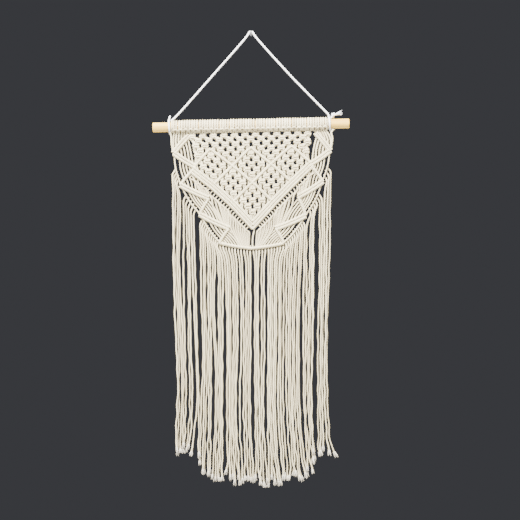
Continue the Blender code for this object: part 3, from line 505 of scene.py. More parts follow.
class Ropes:
    """Many twisted cords in one mesh, with the attributes that the cotton material reads.

    One attribute holds painted shade, darker between the plies and on the flanks that face sideways in
    the frame; "tone" is each cord's own, from 0 (dark) to 1 and more for loose ends, and "lie" is
    (mm round the cord, mm along it, a number of its own).
    """

    # valley and flank set how much painted shade the ply grooves and the sideways flanks get.
    def __init__(self, valley=0.6, flank=0.8):
        self.points, self.faces, self.groove, self.tone, self.lie = [], [], [], [], []
        self.count = 0
        self.valley, self.flank = valley, flank

    def add(self, route, radius=CORD, tone=None, detail=3, lay=LAY, step=STEP, depth=PLY_DEPTH, taper=None):
        """Sweeps one cord along a smooth curve through the points of its route."""
        path, at = smooth(route, step)
        self.sweep(path, at, radius, tone, detail, lay, depth, taper=taper)

    def sweep(self, path, at, radius, tone, detail=3, lay=LAY, depth=PLY_DEPTH, phase=None, taper=None):
        """Sweeps one cord along a path. detail is the points across each ply."""
        tone = SEED.random() if tone is None else tone
        phase = SEED.uniform(0, TURN) if phase is None else phase
        side, other = sides_of(path)
        sides = 3 * detail
        valley = np.arange(sides) % detail == 0
        full = 1.03 if detail == 3 else 1.08  # makes up for the flats between a ply's points
        size = np.where(valley, 1 - depth, 1.0) * full
        angle = phase + TURN * (np.arange(sides)[None] / sides + at[:, None] / lay)
        widths = np.broadcast_to(np.asarray(radius, float), at.shape)
        if taper is not None:
            widths = widths * np.interp(at / at[-1], *taper)
        reach = widths[:, None] * size[None]
        ring = path[:, None] + reach[..., None] * (
            np.cos(angle)[..., None] * side[:, None] + np.sin(angle)[..., None] * other[:, None]
        )
        count = len(path)
        self.points.append(ring.reshape(-1, 3))
        # Painted shade: points that face sideways in the frame are darkened as if shaded by the cords
        # beside them, and the ply valleys are darkened too.
        facing = np.cos(angle) * side[:, 1:2] + np.sin(angle) * other[:, 1:2]  # towards the front or back
        beside = self.flank * (1 - np.abs(facing)) ** 1.6
        self.groove.append(np.maximum(beside, self.valley * valley[None]).ravel())
        self.tone.append(np.repeat(np.broadcast_to(np.asarray(tone, float), at.shape), sides))
        offset = SEED.uniform(0, 900)
        round_mm = TURN * np.mean(widths) * np.arange(sides) / sides
        lie = (np.tile(round_mm, count), np.repeat(at, sides), np.full(count * sides, offset))
        self.lie.append(np.stack(lie, axis=1))
        i = np.arange(count - 1)[:, None] * sides
        k = np.arange(sides)[None]
        after = (k + 1) % sides
        quads = np.stack([i + k, i + after, i + sides + after, i + sides + k], axis=-1).reshape(-1, 4)
        self.faces += (quads + self.count).tolist()
        last = self.count + (count - 1) * sides
        self.faces.append(list(range(self.count, self.count + sides))[::-1])
        self.faces.append(list(range(last, last + sides)))
        self.count += count * sides

    def make(self, name, finish, *nodes, slot_name="cotton_rope"):
        """Puts the cords in the scene as one piece, in place of the named CAD nodes."""
        mesh = bpy.data.meshes.new(name)
        points = np.vstack(self.points) * MM
        mesh.from_pydata(points.tolist(), [], self.faces)
        mesh.shade_smooth()
        for key, values in (("groove", self.groove), ("tone", self.tone)):
            made = mesh.attributes.new(key, "FLOAT", "POINT")
            made.data.foreach_set("value", np.concatenate(values).astype(np.float32))
        made = mesh.attributes.new("lie", "FLOAT_VECTOR", "POINT")
        made.data.foreach_set("vector", np.vstack(self.lie).astype(np.float32).ravel())
        mesh.materials.append(finish)
        piece = add_object(name, mesh)
        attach(piece, "root")
        if nodes:
            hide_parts(*nodes)


FRAY_LAY = 6.0
FRAY_STEP = 1.0
FRAY_DEPTH = 0.3
FRAY_TAPER = ((0, 0.5, 1), (1.0, 0.95, 0.45))


def fray(ropes, end, ahead, count, reach, spread, radius, tone, turn=0.0):
    """Loose plies that open out at a cord's end."""
    ahead = Vector(ahead).normalized()
    side = ahead.cross(Vector((0, 1, 0)))
    side = side.normalized() if side.length > 0.2 else Vector((1, 0, 0))
    other = ahead.cross(side)
    for k in range(count):
        angle = turn + TURN * (k + SEED.uniform(-0.2, 0.2)) / count
        out = math.cos(angle) * side + math.sin(angle) * other
        far = reach * SEED.uniform(0.72, 1.0)
        start = Vector(end) - ahead * 1.5 + out * 0.3 * spread
        route = [
            start,
            start + ahead * far * 0.45 + out * spread * 0.35,
            Vector(end) + ahead * far + out * spread * SEED.uniform(0.7, 1.15),
        ]
        ropes.add([tuple(p) for p in route], radius, tone, 2, FRAY_LAY, FRAY_STEP, FRAY_DEPTH, FRAY_TAPER)


# ---- the knotted field

# One strand of a square knot, from its top to its bottom: (across, front, up).
WORKER_LEFT = (
    (-3.9, 0.4, 4.7), (-5.1, 0.9, 3.4), (-2.6, 3.2, 2.5), (1.6, 3.6, 2.15), (4.5, 1.5, 1.6),
    (5.3, 0.2, 0.0), (4.5, 1.4, -1.4), (1.6, 3.6, -2.05), (-2.6, 3.2, -2.45), (-5.0, 0.8, -3.3),
    (-3.9, 0.3, -4.7),
)
WORKER_RIGHT = (
    (3.9, 0.4, 4.7), (5.1, 2.7, 3.4), (4.4, 0.7, 1.5), (1.7, -2.9, 1.1), (-1.7, -2.9, 1.3),
    (-4.8, -0.4, 2.1), (-5.5, 2.3, 1.6), (-5.7, 3.1, 0.0), (-5.4, 2.0, -1.7), (-3.5, -1.3, -1.9),
    (0.0, -3.1, -1.5), (3.6, -1.1, -1.5), (5.3, 2.2, -1.8), (5.1, 2.7, -3.4), (3.9, 0.3, -4.7),
)
FILLER_LEFT = ((-1.9, 0.0, 4.7), (-1.8, 0.0, 0.0), (-1.9, 0.0, -4.7))
FILLER_RIGHT = ((1.9, 0.0, 4.7), (1.8, 0.0, 0.0), (1.9, 0.0, -4.7))
PLACES = (WORKER_LEFT, FILLER_LEFT, FILLER_RIGHT, WORKER_RIGHT)
KNOT_HIGH = 8.7  # the template's height from knot to knot
KNOT_FLAT = 0.7
KNOT_LEAN = 0.02
LEG_FROM = 4.6  # how far up and down the template's legs start
LEG_LIFT = 1.0  # the strands between two knots come forward
ROW_HEIGHTS = (5.9, 6.2, 6.7, 6.7, 6.7, 6.7)  # of the knots above the diamonds
ROW_WIDTH = 0.8  # the knots' width there, as a share of the template's
TOP_ROW_FALL = 0.5
# (half column, row): how far a knot gives way to the slot beside the field.
EDGE_KNOTS = {(-11, 2): 2.0, (-11, 4): 3.4, (11, 0): -1.4}
DIAMOND_KNOT_HEIGHT = 0.85  # as a share of the step between two rows
DIAMOND_KNOT_WIDTH = 0.78


def half_column_of(k):
    """Where a field strand runs, in half columns from the middle."""
    return (k - (FIELD_STRANDS - 1) / 2) / 2


def through_knot(centre, place, high, wide):
    """A strand's points (x, front, z) in a square knot; place is 0 to 3 from the left."""
    route = []
    for across, front, up in PLACES[place]:
        z = centre[1] + up * high / KNOT_HIGH + KNOT_LEAN * across * wide
        route.append((centre[0] + across * wide, KNOT_FLAT * front + LEG_LIFT * (abs(up) > LEG_FROM), z))
    return route


def upper_stretch(k, knots):
    """A field strand from the heading to the diamonds' upper edge."""
    c = half_column_of(k)
    x = heading_strand_x(k + SIDE_STRANDS)
    first = [field_point(at / 2, FIELD_ROWS[0])[0] for at, row in knots if row == 0 and abs(c - at) < 1]
    off = x - first[0] if first else 0.0
    inward = x - 0.34 * off * min(1.0, off * off / 40)
    route = [(x, 3.2, DOWEL_SLOPE * x - 7.6), (inward, 1.7 + 0.1 * abs(off), DOWEL_SLOPE * x - 9.9)]
    for row, drop in enumerate(FIELD_ROWS):
        tied = [at for at, r in knots if r == row and abs(c - at) < 1]
        if tied:
            place = round((c - tied[0] + 0.75) / 0.5)
            moved = np.array((EDGE_KNOTS.get((tied[0], row), 0.0), -TOP_ROW_FALL * (row == 0)))
            route += through_knot(knots[tied[0], row] + moved, place, ROW_HEIGHTS[row], ROW_WIDTH)
        elif abs(c) > 11 and row in (1, 3):  # beside a knot that stands back from the field's edge
            beside = math.copysign(EDGE_COLUMN - 0.18 - 0.12 * (c > 0) + 0.1 * (abs(c) > 11.5), c)
            point = field_point(beside, drop)
            route.append((point[0], 0.0, point[1]))
    end = rim_above_diamonds(min(max(c, -11.9), 11.9))
    route.append((end[0], 0.0, end[1]))
    return route


def diamond_stretch(c, centre, level):
    """A strand through one diamond, from its upper edge to its lower edge."""
    i = round((c - centre) / 0.5 - 0.5)
    middle = CORNER_DROPS[level]
    share = 1 - abs(c - centre) / DIAMOND_HALF
    ends = CORNER_DROPS[level - 1], CORNER_DROPS[level + 1]
    top, bottom = (field_point(c / 2, middle + share * (end - middle)) for end in ends)
    route = [(top[0], 0.0, top[1])]
    for row in range(-2, 3):
        count = 3 - abs(row)  # knots in the row
        if not -2 * count <= i < 2 * count:
            continue
        half_height = abs(ends[row > 0] - middle)
        drop = middle + row * DIAMOND_ROW_STEP * half_height
        at = centre + 2 * ((i + 2 * count) // 4) - (count - 1)
        high = DIAMOND_ROW_STEP * half_height * DIAMOND_KNOT_HEIGHT
        route += through_knot(field_point(at / 2, drop), (i + 2 * count) % 4, high, DIAMOND_KNOT_WIDTH)
    route.append((bottom[0], 0.0, bottom[1]))
    return route


def build_field(finish):
    ropes = Ropes(valley=0.55, flank=0.62)
    knots = upper_knots()
    for k in range(FIELD_STRANDS):
        tone = 0.85 * SEED.random()
        c = half_column_of(k)
        ropes.add(placed(upper_stretch(k, knots)), KNOT_CORD, tone, step=FINE_STEP)
        for level, centres in DIAMONDS:
            for centre in centres:
                if abs(c - centre) < 3.6:
                    ropes.add(placed(diamond_stretch(c, centre, level)), KNOT_CORD, tone, step=FINE_STEP)
    ropes.make("panel_field", finish, "knotted_panel")


# ---- half-hitch bars

HITCH_WIRE = 1.36
HITCH_LAY = 9.0
HITCH_PLY_DEPTH = 0.14
HITCH_PITCH = 2.5
HITCH_HALF = 1.55  # the coil's amplitude in the panel's plane
HITCH_DEEP = 1.9
HITCH_LIFT = 0.8  # how far the coil's middle stands in front of the panel's
HITCH_STEPS = 11
HITCH_UNEVEN = 0.14


def half_hitches(ropes, route):
    """A row of half hitches: a coil over its holding cord."""
    line, at = resampled(np.asarray(route), 0.5)
    ahead = np.gradient(line, axis=0)
    ahead /= np.linalg.norm(ahead, axis=1)[:, None]
    turns = max(3, round(at[-1] / HITCH_PITCH))
    shift = SEED.uniform(0, TURN)
    t = np.arange(turns * HITCH_STEPS + 1) / HITCH_STEPS
    s = t / turns * at[-1]
    uneven = [SEED.uniform(-HITCH_UNEVEN, HITCH_UNEVEN) for _ in range(turns + 1)]
    wobble = np.interp(t, range(turns + 1), uneven)
    x, z = (np.interp(s, at, column) for column in line.T)
    nx, nz = -np.interp(s, at, ahead[:, 1]), np.interp(s, at, ahead[:, 0])
    turn = TURN * t + shift
    half = HITCH_HALF * (1 + wobble) * np.cos(turn)
    front = HITCH_LIFT + HITCH_DEEP * (1 + 0.5 * wobble) * np.sin(turn)
    path = np.array(placed(zip(x + nx * half, front, z + nz * half)))
    # The bars' random tones are kept high (0.55 to 1.05): painted light, drawing the bars lighter than the
    # field's same cotton, as they look lit.
    shades = [SEED.uniform(0.55, 1.05) for _ in range(turns // 2 + 2)]
    tone = np.array([shades[int((u + 0.25) // 2)] for u in t])
    ropes.sweep(path, reach_along(path), HITCH_WIRE, tone, 2, HITCH_LAY, HITCH_PLY_DEPTH)


def build_bars(finish):
    ropes = Ropes(valley=0.3, flank=0.25)
    for side in (-1, 1):
        half_hitches(ropes, diamond_side(8 * side, 0, -4 * side, 3))
        half_hitches(ropes, diamond_side(0, 0, 8 * side, 2))
        half_hitches(ropes, diamond_side(8 * side, 0, 12 * side, 1))
        for bar, rows in zip(vine_bars(side), VINE_ROWS):
            for row in range(rows):
                half_hitches(ropes, offset_route(bar, (2 * row + 1 - rows) * BAR_HALF))
    for row in range(BORDER_ROWS):
        half_hitches(ropes, border_row(row))
    ropes.make("panel_bars", finish)


# ---- vines

# One more cord down each outer edge, from the heading to the first bar: the frame's (x, y, z).
EDGE_STRANDS = {
    -1: (
        (-136.3, -20.0, -166.0), (-135.2, -19.4, -169.0), (-133.7, -18.6, -173.5),
        (-133.1, -18.4, -180.0), (-132.6, -18.3, -188.0), (-130.2, -17.9, -200.6),
    ),
    1: (
        (140.4, -6.0, -158.6), (139.4, -11.5, -161.4), (136.9, -16.6, -163.0), (134.4, -18.6, -167.6),
        (136.1, -18.8, -175.3), (136.0, -18.7, -181.2), (134.9, -18.4, -187.9), (132.7, -17.8, -197.0),
    ),
}
EDGE_CORD = 1.75
EDGE_TONE = 0.9
# How far right the strands below the heading bend, to fill the room beside the edge strand.
FIRST_GIVE = {-1: (0.6, 0.0, 0.0, 0.0, 0.0, 0.0), 1: (2.4, 1.7, 0.9, 0.3, 0.0, 0.0)}
# And how far right they lean at the heading, to leave the slot beside the field open.
TOP_LEAN = {-1: (0.0,) * 6, 1: (0.0, 0.4, 0.9, 1.5, 2.1, 2.8)}
# And how far right the second fan's strands bend.
SECOND_GIVE = {-1: (0.0, 0.0, 0.0, -0.4, -1.1, -2.6), 1: (0.0, 0.0, 0.0, 0.0, 0.0, 1.2)}
# How far the innermost border strand on the right moves at its start, middle and end: (x, z).
LAST_GROUP_BEND = np.array([[2.6, 2.6], [3.6, 0.0], [4.6, 1.0]])


def moved_between(route, give):
    """A route whose inner points are moved to the right."""
    return route[:1] + [(x + give, front, z) for x, front, z in route[1:-1]] + route[-1:]


def lifted_between(points, lift):
    """(x, z) points as a route whose inner points stand in front of the panel's middle."""
    last = len(points) - 1
    return [(x, lift if 0 < i < last else 0.0, z) for i, (x, z) in enumerate(points)]


def add_fan_strand(ropes, side, level, k, strand):
    """Strand k of a fan, from its outer side; level 0 is the fan below the heading."""
    route = lifted_between(strand, 0.5 * math.sin(1.7 * k + level))
    radius = FAN_CORD if level < 2 else LOWER_FAN_CORD
    if level == 0:
        radius = CORD
        x = heading_strand_x(k if side < 0 else STRANDS - 1 - k)
        lean = TOP_LEAN[side][k]
        top = [(x + lean, 3.4, DOWEL_SLOPE * x - 9.5), (x + 1.1 * lean, 1.6, DOWEL_SLOPE * x - 11.5)]
        route = top + moved_between(route, FIRST_GIVE[side][k])[1:]
    if level == 1:
        route = moved_between(route, SECOND_GIVE[side][k])
        if side > 0 and k < VINE_FANS[level][-1] - 1:
            radius = OPEN_FAN_CORD
    ropes.add(placed(route), radius)


def add_border_strand(ropes, side, k, strand):
    """A strand that comes out from under the border, falls, and then turns to its bar."""
    length = np.linalg.norm(strand[-1] - strand[0])
    fall = min(9.2, 0.42 * length)
    leave = strand[0] + np.array((0.6 * side, -0.8)) * fall
    below = strand[0] * 0.55 + strand[1] * 0.45 + np.array((0.6 * side, -3.0))
    route = lifted_between([strand[0], leave, below, *strand[1:]], 0.9 * (-1) ** k)
    thin_start = ((0, 10 / length, 16 / length), (0.6, 0.64, 1.0))
    # Their tone stays low (0.42 at most): painted shade, as these strands hang in the shade below the
    # border.
    ropes.add(placed(route), BORDER_CORD, 0.42 * SEED.random(), taper=thin_start)


def build_vines(finish):
    ropes = Ropes()
    for side in (-1, 1):
        ropes.add(EDGE_STRANDS[side], EDGE_CORD, EDGE_TONE)
        for level, fan in enumerate(fan_strands(side)):
            for k, strand in enumerate(fan):
                add_fan_strand(ropes, side, level, k, strand)
        groups = border_strands(side)
        if side > 0:
            last = len(groups[-1]) - 1
            groups[-1] = [strand + (k / last) ** 2 * LAST_GROUP_BEND for k, strand in enumerate(groups[-1])]
        for group in groups:
            for k, strand in enumerate(group):
                add_border_strand(ropes, side, k, strand)
    # One short strand hangs from the V's tip.
    tip = border_row(BORDER_ROWS - 1)[3]
    centre_z = -VINE_POINTS[-1][1]
    short = [(tip[0] + 2.9, 0.0, tip[1]), (2.9, 0.3, (tip[1] + centre_z) / 2), (2.6, 0.0, centre_z)]
    ropes.add(placed(short), 1.4)
    ropes.make("panel_vines", finish)


# ---- heading

# Half of a larks head knot: from the dowel's front over its top, down its back and under it.
KNOT_TURNS = (
    # degrees from +Y towards +Z, radius, how far from the knot's middle, share of the knot's shift
    (205, 9.9, 2.1, 0.5), (190, 9.8, 2.12, 1), (160, 9.7, 2.14, 1), (125, 9.5, 2.15, 1),
    (90, 9.4, 2.15, 1), (60, 9.5, 2.15, 1), (25, 9.7, 2.15, 1), (-10, 9.8, 2.2, 1),
    (-45, 9.6, 2.3, 1), (-80, 9.2, 2.8, 0.5), (-115, 9.6, 3.4, 0), (-138, 11.2, 3.3, 0),
    (-152, 12.2, 2.1, 0),
)
ARCH_RADIUS = 12.5  # the loop's middle, in front of the two ends
LOOP_TAPER = ((0, 0.42, 0.47, 0.53, 0.58, 1), (1, 1, 0.8, 0.8, 1, 1))
END_TURNS = (  # the last turn at each end of the heading
    # x, radius, how far it winds sideways
    (-132.9, 1.95, 0.9),
    (128.9, 1.05, -0.2),
)
END_TAPER = ((0, 0.23, 0.6, 0.7, 1), (0.9, 1, 0.6, 0.6, 0.9))
END_TONE = 0.6


def build_heading(finish):
    """Larks head knots: up the front, over the dowel, down the back, across the front as a loop."""
    ropes = Ropes(valley=0.5, flank=0.5)
    for knot in range(HEADING_KNOTS):
        middle = HEADING_START + HEADING_PITCH * (knot + 0.5)
        tone = SEED.random()
        shift, rise = SEED.uniform(-0.5, 0.5), SEED.uniform(0.97, 1.03)
        # (out from the knot's middle, y and z from the dowel's, shift along the dowel)
        half = [(CORD_OUT, PANEL_Y - 1.2 - DOWEL_Y, -10.4, 0.0), (CORD_OUT, -6.8, -8.2, 0.0)]
        for degrees, radius, out, part in KNOT_TURNS:
            half.append((out, *polar(degrees, radius * (1 + (rise - 1) * part)), part * shift))
        arch = (0.0, *polar(-154 - SEED.uniform(0, 6), ARCH_RADIUS))
        bend = [(moved - x, y, z) for x, y, z, moved in half] + [arch]
        bend += [(moved + x, y, z) for x, y, z, moved in half[::-1]]
        route = [(middle + x, DOWEL_Y + y, dowel_z(middle + x) + z) for x, y, z in bend]
        ropes.add(route, SEED.uniform(1.98, 2.12), tone, taper=LOOP_TAPER)
    for middle, radius, lean in END_TURNS:
        turn = []
        for k in range(27):  # 24 steps are a full turn
            a = math.pi * (0.5 + k / 12)
            x = middle - lean * math.cos(a) * 0.8
            y, z = polar(math.degrees(a), DOWEL_RADIUS - 0.1 + radius)
            turn.append((x, y + DOWEL_Y, z + dowel_z(x)))
        ropes.add(turn, radius, END_TONE, taper=END_TAPER)
    ropes.make("heading_cords", finish, "larks_head_heading")


# ---- fringe

WAVES = (31.0, 47.0, 83.0)  # lengths of the waves in a loose strand
WAVE_SIZES = (0.6, 0.5)  # across and in depth
KICK = 34.0  # over this length at its end a strand turns aside
RIGHT_SPLAY = (0.5, 3.5, 9.0)  # the right outer group's ends turn outwards
FRINGE_SHADE = dict(valley=0.8, flank=1.0)


def fringe_rims():
    """Each group's name and the rim that it hangs from, as in the part's source."""
    beside = STRAND_HALF + 2 * GAP + BACKING_HALF
    under = BAR_HALF + 2 * GAP + BACKING_HALF
    left, right = fan_strands(-1), fan_strands(1)
    left_shoulder = [along(left[6][0], s) for s in (0.15, 0.55, 0.9)]
    right_shoulder = [along(right[6][0], s) for s in (0.9, 0.55, 0.15)]
    bottom = [*vine_bars(-1)[7], *vine_bars(1)[7][-2::-1]]
    return (
        ("fringe_left_outer", rim_beside(left[2][0], 0.52, 0.97, -beside)),
        ("fringe_left_inner", rim_beside(left[4][0], 0.32, 0.92, -beside)),
        ("fringe_curtain", offset_route(left_shoulder + bottom + right_shoulder, -under)),
        ("fringe_right_inner", rim_beside(right[4][0], 0.32, 0.92, beside)[::-1]),
        ("fringe_right_outer", rim_beside(right[2][0], 0.52, 0.97, beside)[::-1]),
    )


def hanging_strand(ropes, root, outward, route, splay=0.0):
    """One fringe strand: out of the bar, down, with a slow sway, to an opened end."""
    up = np.array((0.0, 1.0))
    inside, middle = root - outward * 4.0 + up * 6.0, root - outward * 1.5 + up * 2.0
    points = [(inside[0], FRINGE_Y + 3.8, inside[1]), (middle[0], FRINGE_Y + 2.2, middle[1]), *route]
    x, y, z = points[-1]
    points[-1] = (x, y, z - SEED.uniform(-9.0, 5.0))
    path, at = smooth([(x, y, DOWEL_Z + z) for x, y, z in points])
    end = at[-1]
    # The waves fade in below the bar and nearly double towards the end.
    fade = np.clip((at - 25) / 40, 0, 1) * (1 + 0.9 * np.clip((at - end + 150) / 150, 0, 1))
    for axis, size in enumerate(WAVE_SIZES):
        for wave in WAVES:
            swing = fade * size * SEED.uniform(0.2, 0.6)
            path[:, axis] += swing * np.sin(TURN * at / wave + SEED.uniform(0, 6.28))
    kick = np.clip((at - end + KICK) / KICK, 0, 1) ** 2
    path[:, 0] += kick * (SEED.uniform(-4.5, 4.5) + splay)
    path[:, 1] += kick * SEED.uniform(-1.6, 1.0)
    tone = 0.05 + 0.9 * SEED.random()
    cut = np.searchsorted(at, end - SEED.uniform(6.5, 10.0))
    tip, ahead = path[cut - 1], path[cut - 1] - path[cut - 3]
    twisted = at[cut - 1]
    narrowing = np.interp(at[:cut], (0, twisted - 150, twisted - 25, twisted), (1.0, 1.0, 0.82, 1.05))
    radius = FRINGE_CORD * SEED.uniform(0.86, 1.14) * narrowing
    ropes.sweep(path[:cut], at[:cut], radius, tone, phase=SEED.uniform(0, 6.28))
    turn = SEED.uniform(0, 6.28)
    reach = np.linalg.norm(path[-1] - tip)
    fray(ropes, tip, ahead, 3, reach, SEED.uniform(1.5, 3.0), 1.05, 2.2, turn)
    fray(ropes, tip, ahead, 5, reach * 0.95, SEED.uniform(1.8, 3.4), 0.55, 2.4, turn + 0.5)


def build_fringe(finish):
    chance = random.Random(11)
    index = 0
    for (name, rim), count in zip(fringe_rims(), GROUP_COUNTS):
        front = Ropes(**FRINGE_SHADE)
        back = Ropes(**FRINGE_SHADE) if name == "fringe_curtain" else front
        for k in range(count):
            share = (k + 0.5) / count
            ahead = along(rim, min(share + 0.02, 1.0)) - along(rim, max(share - 0.02, 0.0))
            ahead /= np.linalg.norm(ahead)
            outward = np.array((ahead[1], -ahead[0]))
            layer = 1 if index % 2 else -1
            start = along(rim, share) + BACKING_HALF * outward
            route = strand_route(index, start, outward, layer, chance)
            splay = RIGHT_SPLAY[k] if name == "fringe_right_outer" else 0.0
            hanging_strand(back if layer > 0 else front, start, outward, route, splay)
            index += 1
        if name == "fringe_curtain":
            front.make("fringe_curtain_front", finish, "fringe_curtain")
            back.make("fringe_curtain_back", finish)
        else:
            front.make(name + "_cords", finish, name)


# ---- hanger

HANGER_CORD = 1.75
HANGER_LAY = 15.0


def build_hanger(finish):
    """One cord: a turn round the dowel, over the hook, another turn, and a knot with a frayed tail."""
    ropes = Ropes(valley=0.7, flank=0.0)
    seat_z = WIRE_RADIUS + CORD_RADIUS + GAP
    route = [(-136.0, -10.9, -140.0), (-137.2, -11.2, -143.4)]
    route += wrap_round_dowel(WRAP_LEFT_X)
    route += [(-127.5, -11.5, -141.6), (-62.0, -8.4, -68.0)]
    rising = [(-6.5, CORD_SEAT_Y - 0.3, -3.6), (-2.4, CORD_SEAT_Y, seat_z - 0.7)]
    route += rising + [(0, CORD_SEAT_Y, seat_z)] + [(-x, y, z) for x, y, z in reversed(rising)]
    route += [(62.0, -8.4, -66.2), (124.0, -11.5, -130.4), (129.8, -12.2, -136.6)]
    route += wrap_round_dowel(WRAP_RIGHT_X)
    route += [(136.0, -10.8, -141.0), (136.9, -11.0, -139.6), (138.0, -11.6, -138.2)]
    route += [(139.8, -12.2, -137.2), (143.0, -13.0, -136.2), (146.6, -13.4, -135.1)]
    ropes.add(route, HANGER_CORD, 0.5, lay=HANGER_LAY, depth=0.12)
    turn = []  # the knot: one and a half turns round the tail
    for i in range(22):
        a = TURN * 1.5 * i / 21 - 0.9
        turn.append((135.4 + 0.19 * i, -11.3 + 3.3 * math.cos(a), -139.0 + 0.06 * i + 2.9 * math.sin(a)))
    ropes.add(turn, 1.8, 0.75, lay=HANGER_LAY)
    tail_ahead = (1, -0.03, 0.25)
    fray(ropes, (145.6, -13.3, -135.4), tail_ahead, 3, 8.0, 2.6, 1.35, 0.9)
    fray(ropes, (145.0, -13.3, -135.5), tail_ahead, 11, 9.0, 3.6, 0.6, 1.0, 0.4)
    fray(ropes, (-136.1, -10.9, -140.6), (0.2, 0, 1), 3, 2.6, 1.2, 1.15, 0.9)
    ropes.make("hanger_rope", finish, "hanger_cord", slot_name="cord_cotton")


# ---- materials


class Recipe:
    """A material with a Principled shader, and short ways to add nodes to it."""

    def __init__(self, name, **shader_values):
        self.material = bpy.data.materials.new(name)
        self.material.use_nodes = True
        self.nodes, self.links = self.material.node_tree.nodes, self.material.node_tree.links
        self.nodes.clear()
        out = self.nodes.new("ShaderNodeOutputMaterial")
        self.shader = self.node("BsdfPrincipled", **shader_values)
        self.links.new(self.shader.outputs[0], out.inputs[0])

    def node(self, kind, **values):
        """A node with values on its inputs; an underscore stands for a space in an input's name."""
        made = self.nodes.new("ShaderNode" + kind)
        for key, value in values.items():
            made.inputs[key.replace("_", " ")].default_value = value
        return made

    def link(self, output, node, key):
        self.links.new(output, node.inputs[key])

    def attribute(self, name):
        made = self.node("Attribute")
        made.attribute_name = name
        return made

    def noise(self, vector, scale, detail, **more):
        made = self.node("TexNoise", Scale=scale, Detail=detail, **more)
        self.link(vector, made, "Vector")
        return made.outputs["Fac"]

    def stretched(self, vector, scale):
        made = self.node("Mapping", Scale=scale)
        self.link(vector, made, "Vector")
        return made.outputs[0]

    def multiply_add(self, value, by, plus):
        """value * by + plus, where plus is a number or another node's output."""
        made = self.node("Math")
        made.operation = "MULTIPLY_ADD"
        made.inputs[1].default_value = by
        self.link(value, made, 0)
        if isinstance(plus, float):
            made.inputs[2].default_value = plus
        else:
            self.link(plus, made, 2)
        return made.outputs[0]

    def ramp(self, value, stops):
        made = self.node("ValToRGB")
        cuts = made.color_ramp.elements
        while len(cuts) < len(stops):
            cuts.new(0.5)
        for cut, (at, colour) in zip(cuts, stops):
            cut.position = at
            cut.color = (*colour, 1.0)
        self.link(value, made, "Fac")
        return made.outputs["Color"]

    def multiplied(self, colour):
        """A node that multiplies a colour by its B, by as much as its Factor."""
        made = self.node("Mix")
        made.data_type, made.blend_type = "RGBA", "MULTIPLY"
        self.link(colour, made, "A")
        return made

    def bump(self, height, strength, distance):
        made = self.node("Bump", Strength=strength, Distance=distance)
        self.link(height, made, "Height")
        self.link(made.outputs[0], self.shader, "Normal")


def cotton_material(name, dark, light, groove_colour):
    """Twisted cotton: streaked fibres along the plies, painted shade in the grooves and on the flanks, a
    tone of its own for each cord.
    """
    recipe = Recipe(name, Roughness=0.92, Specular_IOR_Level=0.25, Sheen_Weight=0.08, Sheen_Roughness=0.5)
    lie, tone, groove = (recipe.attribute(key) for key in ("lie", "tone", "groove"))
    place = recipe.node("TexCoord").outputs["Object"]
    along_cord = recipe.stretched(lie.outputs["Vector"], (4.2, 0.75, 1.0))
    fibres = recipe.noise(along_cord, 1.0, 3.0, Roughness=0.6)
    patch = recipe.noise(place, 45.0, 2.0)
    blend = recipe.multiply_add(tone.outputs["Fac"], 0.55, recipe.multiply_add(patch, 0.45, -0.06))
    frayed = tuple(0.45 * c + 0.55 * 0.93 for c in light)
    streaked = recipe.multiplied(recipe.ramp(blend, ((0.0, dark), (0.86, light), (1.0, frayed))))
    streaked.inputs["Factor"].default_value = 1.0
    recipe.link(recipe.ramp(fibres, ((0.3, (0.88, 0.87, 0.85)), (0.7, (1.0, 1.0, 1.0)))), streaked, "B")
    # Painted shade: the colour is multiplied towards the shade colour as far as the painted shade attribute
    # says.
    painted_shading = recipe.multiplied(streaked.outputs["Result"])
    painted_shading.inputs["B"].default_value = (*groove_colour, 1.0)
    recipe.link(groove.outputs["Fac"], painted_shading, "Factor")
    recipe.link(painted_shading.outputs["Result"], recipe.shader, "Base Color")
    recipe.bump(recipe.multiply_add(recipe.noise(place, 1600.0, 2.0), 0.4, fibres), 0.55, 0.0005)
    return recipe.material


def pine_material():
    """Sanded pine with its grain along the dowel."""
    recipe = Recipe("pine_dowel", Roughness=0.55, Specular_IOR_Level=0.2)
    place = recipe.node("TexCoord").outputs["Object"]
    grain = recipe.noise(recipe.stretched(place, (6.0, 150.0, 150.0)), 1.0, 5.0, Distortion=0.6)
    colours = ((0.25, (0.40, 0.22, 0.03)), (0.5, (0.60, 0.38, 0.07)), (0.75, (0.70, 0.48, 0.12)))
    recipe.link(recipe.ramp(grain, colours), recipe.shader, "Base Color")
    recipe.bump(grain, 0.3, 0.0003)
    return recipe.material


def steel_material():
    """Plated wire, uneven in colour and gloss."""
    recipe = Recipe("steel_hook", Metallic=1.0)
    noise = recipe.noise(recipe.node("TexCoord").outputs["Object"], 900.0, 3.0)
    colours = ((0.3, (0.36, 0.36, 0.37)), (0.7, (0.55, 0.55, 0.56)))
    recipe.link(recipe.ramp(noise, colours), recipe.shader, "Base Color")
    rough = recipe.node("MapRange", To_Min=0.25, To_Max=0.45)
    recipe.link(noise, rough, "Value")
    recipe.link(rough.outputs["Result"], recipe.shader, "Roughness")
    return recipe.material


# ---- stage, in metres

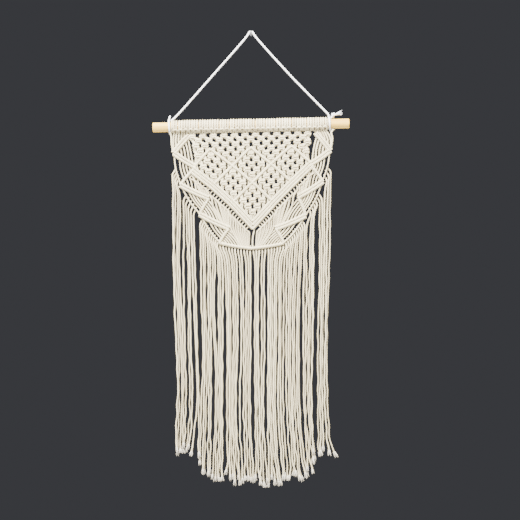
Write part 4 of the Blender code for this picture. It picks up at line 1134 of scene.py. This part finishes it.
FLOOR_HALF = 4
FLOOR_Z = -1.6
SLATE = (0.046, 0.047, 0.053, 1.0)
LIGHTS = (
    # name, place, aim, size, power
    ("key", (-0.45, -1.9, 2.1), (0.0, 0.0, -0.45), 0.8, 1120.0),
    ("fill", (0.9, -2.4, -0.2), (0.0, 0.0, -0.4), 1.4, 16.0),
    ("back", (0.3, 1.8, 0.9), (0.0, 0.0, -0.4), 1.5, 44.0),
)
SENSOR = 36.0
EYE_DISTANCE = 2.6  # from the middle of the panel's depth
VIEW_WIDTH = 0.872  # what the photo's 520 pixels cover there
VIEW_MIDDLE = (0.0151, -0.015, -0.3807)


def build_stage():
    """A pale floor far below, a slate background, soft light from above, in front and behind."""
    corners = ((-1, -1), (1, -1), (1, 1), (-1, 1))
    mesh = bpy.data.meshes.new("floor")
    mesh.from_pydata([(x * FLOOR_HALF, y * FLOOR_HALF, FLOOR_Z) for x, y in corners], [], [(0, 1, 2, 3)])
    mesh.materials.append(Recipe("pale_floor", Base_Color=(0.72, 0.71, 0.69, 1.0), Roughness=0.9).material)
    floor = add_object("floor", mesh)
    world = bpy.data.worlds.new("slate")
    bpy.context.scene.world = world
    world.use_nodes = True
    world.node_tree.nodes["Background"].inputs[0].default_value = SLATE
    for name, place, aim, size, power in LIGHTS:
        light = bpy.data.lights.new(name, "AREA")
        light.size, light.energy = size, power
        lamp = add_object(name, light)
        lamp.location = place
        lamp.rotation_euler = (Vector(aim) - Vector(place)).to_track_quat("-Z", "Y").to_euler()
    camera = bpy.data.cameras.new("camera")
    camera.sensor_width = SENSOR
    camera.lens = SENSOR * EYE_DISTANCE / VIEW_WIDTH
    eye = add_object("camera", camera)
    eye.location = (VIEW_MIDDLE[0], VIEW_MIDDLE[1] - EYE_DISTANCE, VIEW_MIDDLE[2])
    eye.rotation_euler = (math.pi / 2, 0.0, 0.0)
    bpy.context.scene.camera = eye


def main():
    build_stage()
    # Each cotton's last colour is its painted shade, for the ply grooves and the sideways flanks.
    rope = cotton_material("cotton_rope_fibre", (0.59, 0.51, 0.32), (0.87, 0.79, 0.53), (0.23, 0.18, 0.11))
    white = cotton_material("cord_cotton_fibre", (0.78, 0.77, 0.75), (0.88, 0.88, 0.88), (0.55, 0.53, 0.51))
    build_heading(rope)
    build_field(rope)
    build_bars(rope)
    build_vines(rope)
    build_fringe(rope)
    build_hanger(white)
    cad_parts["dowel"].data.materials[0] = pine_material()
    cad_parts["wall_hook"].data.materials[0] = steel_material()


main()
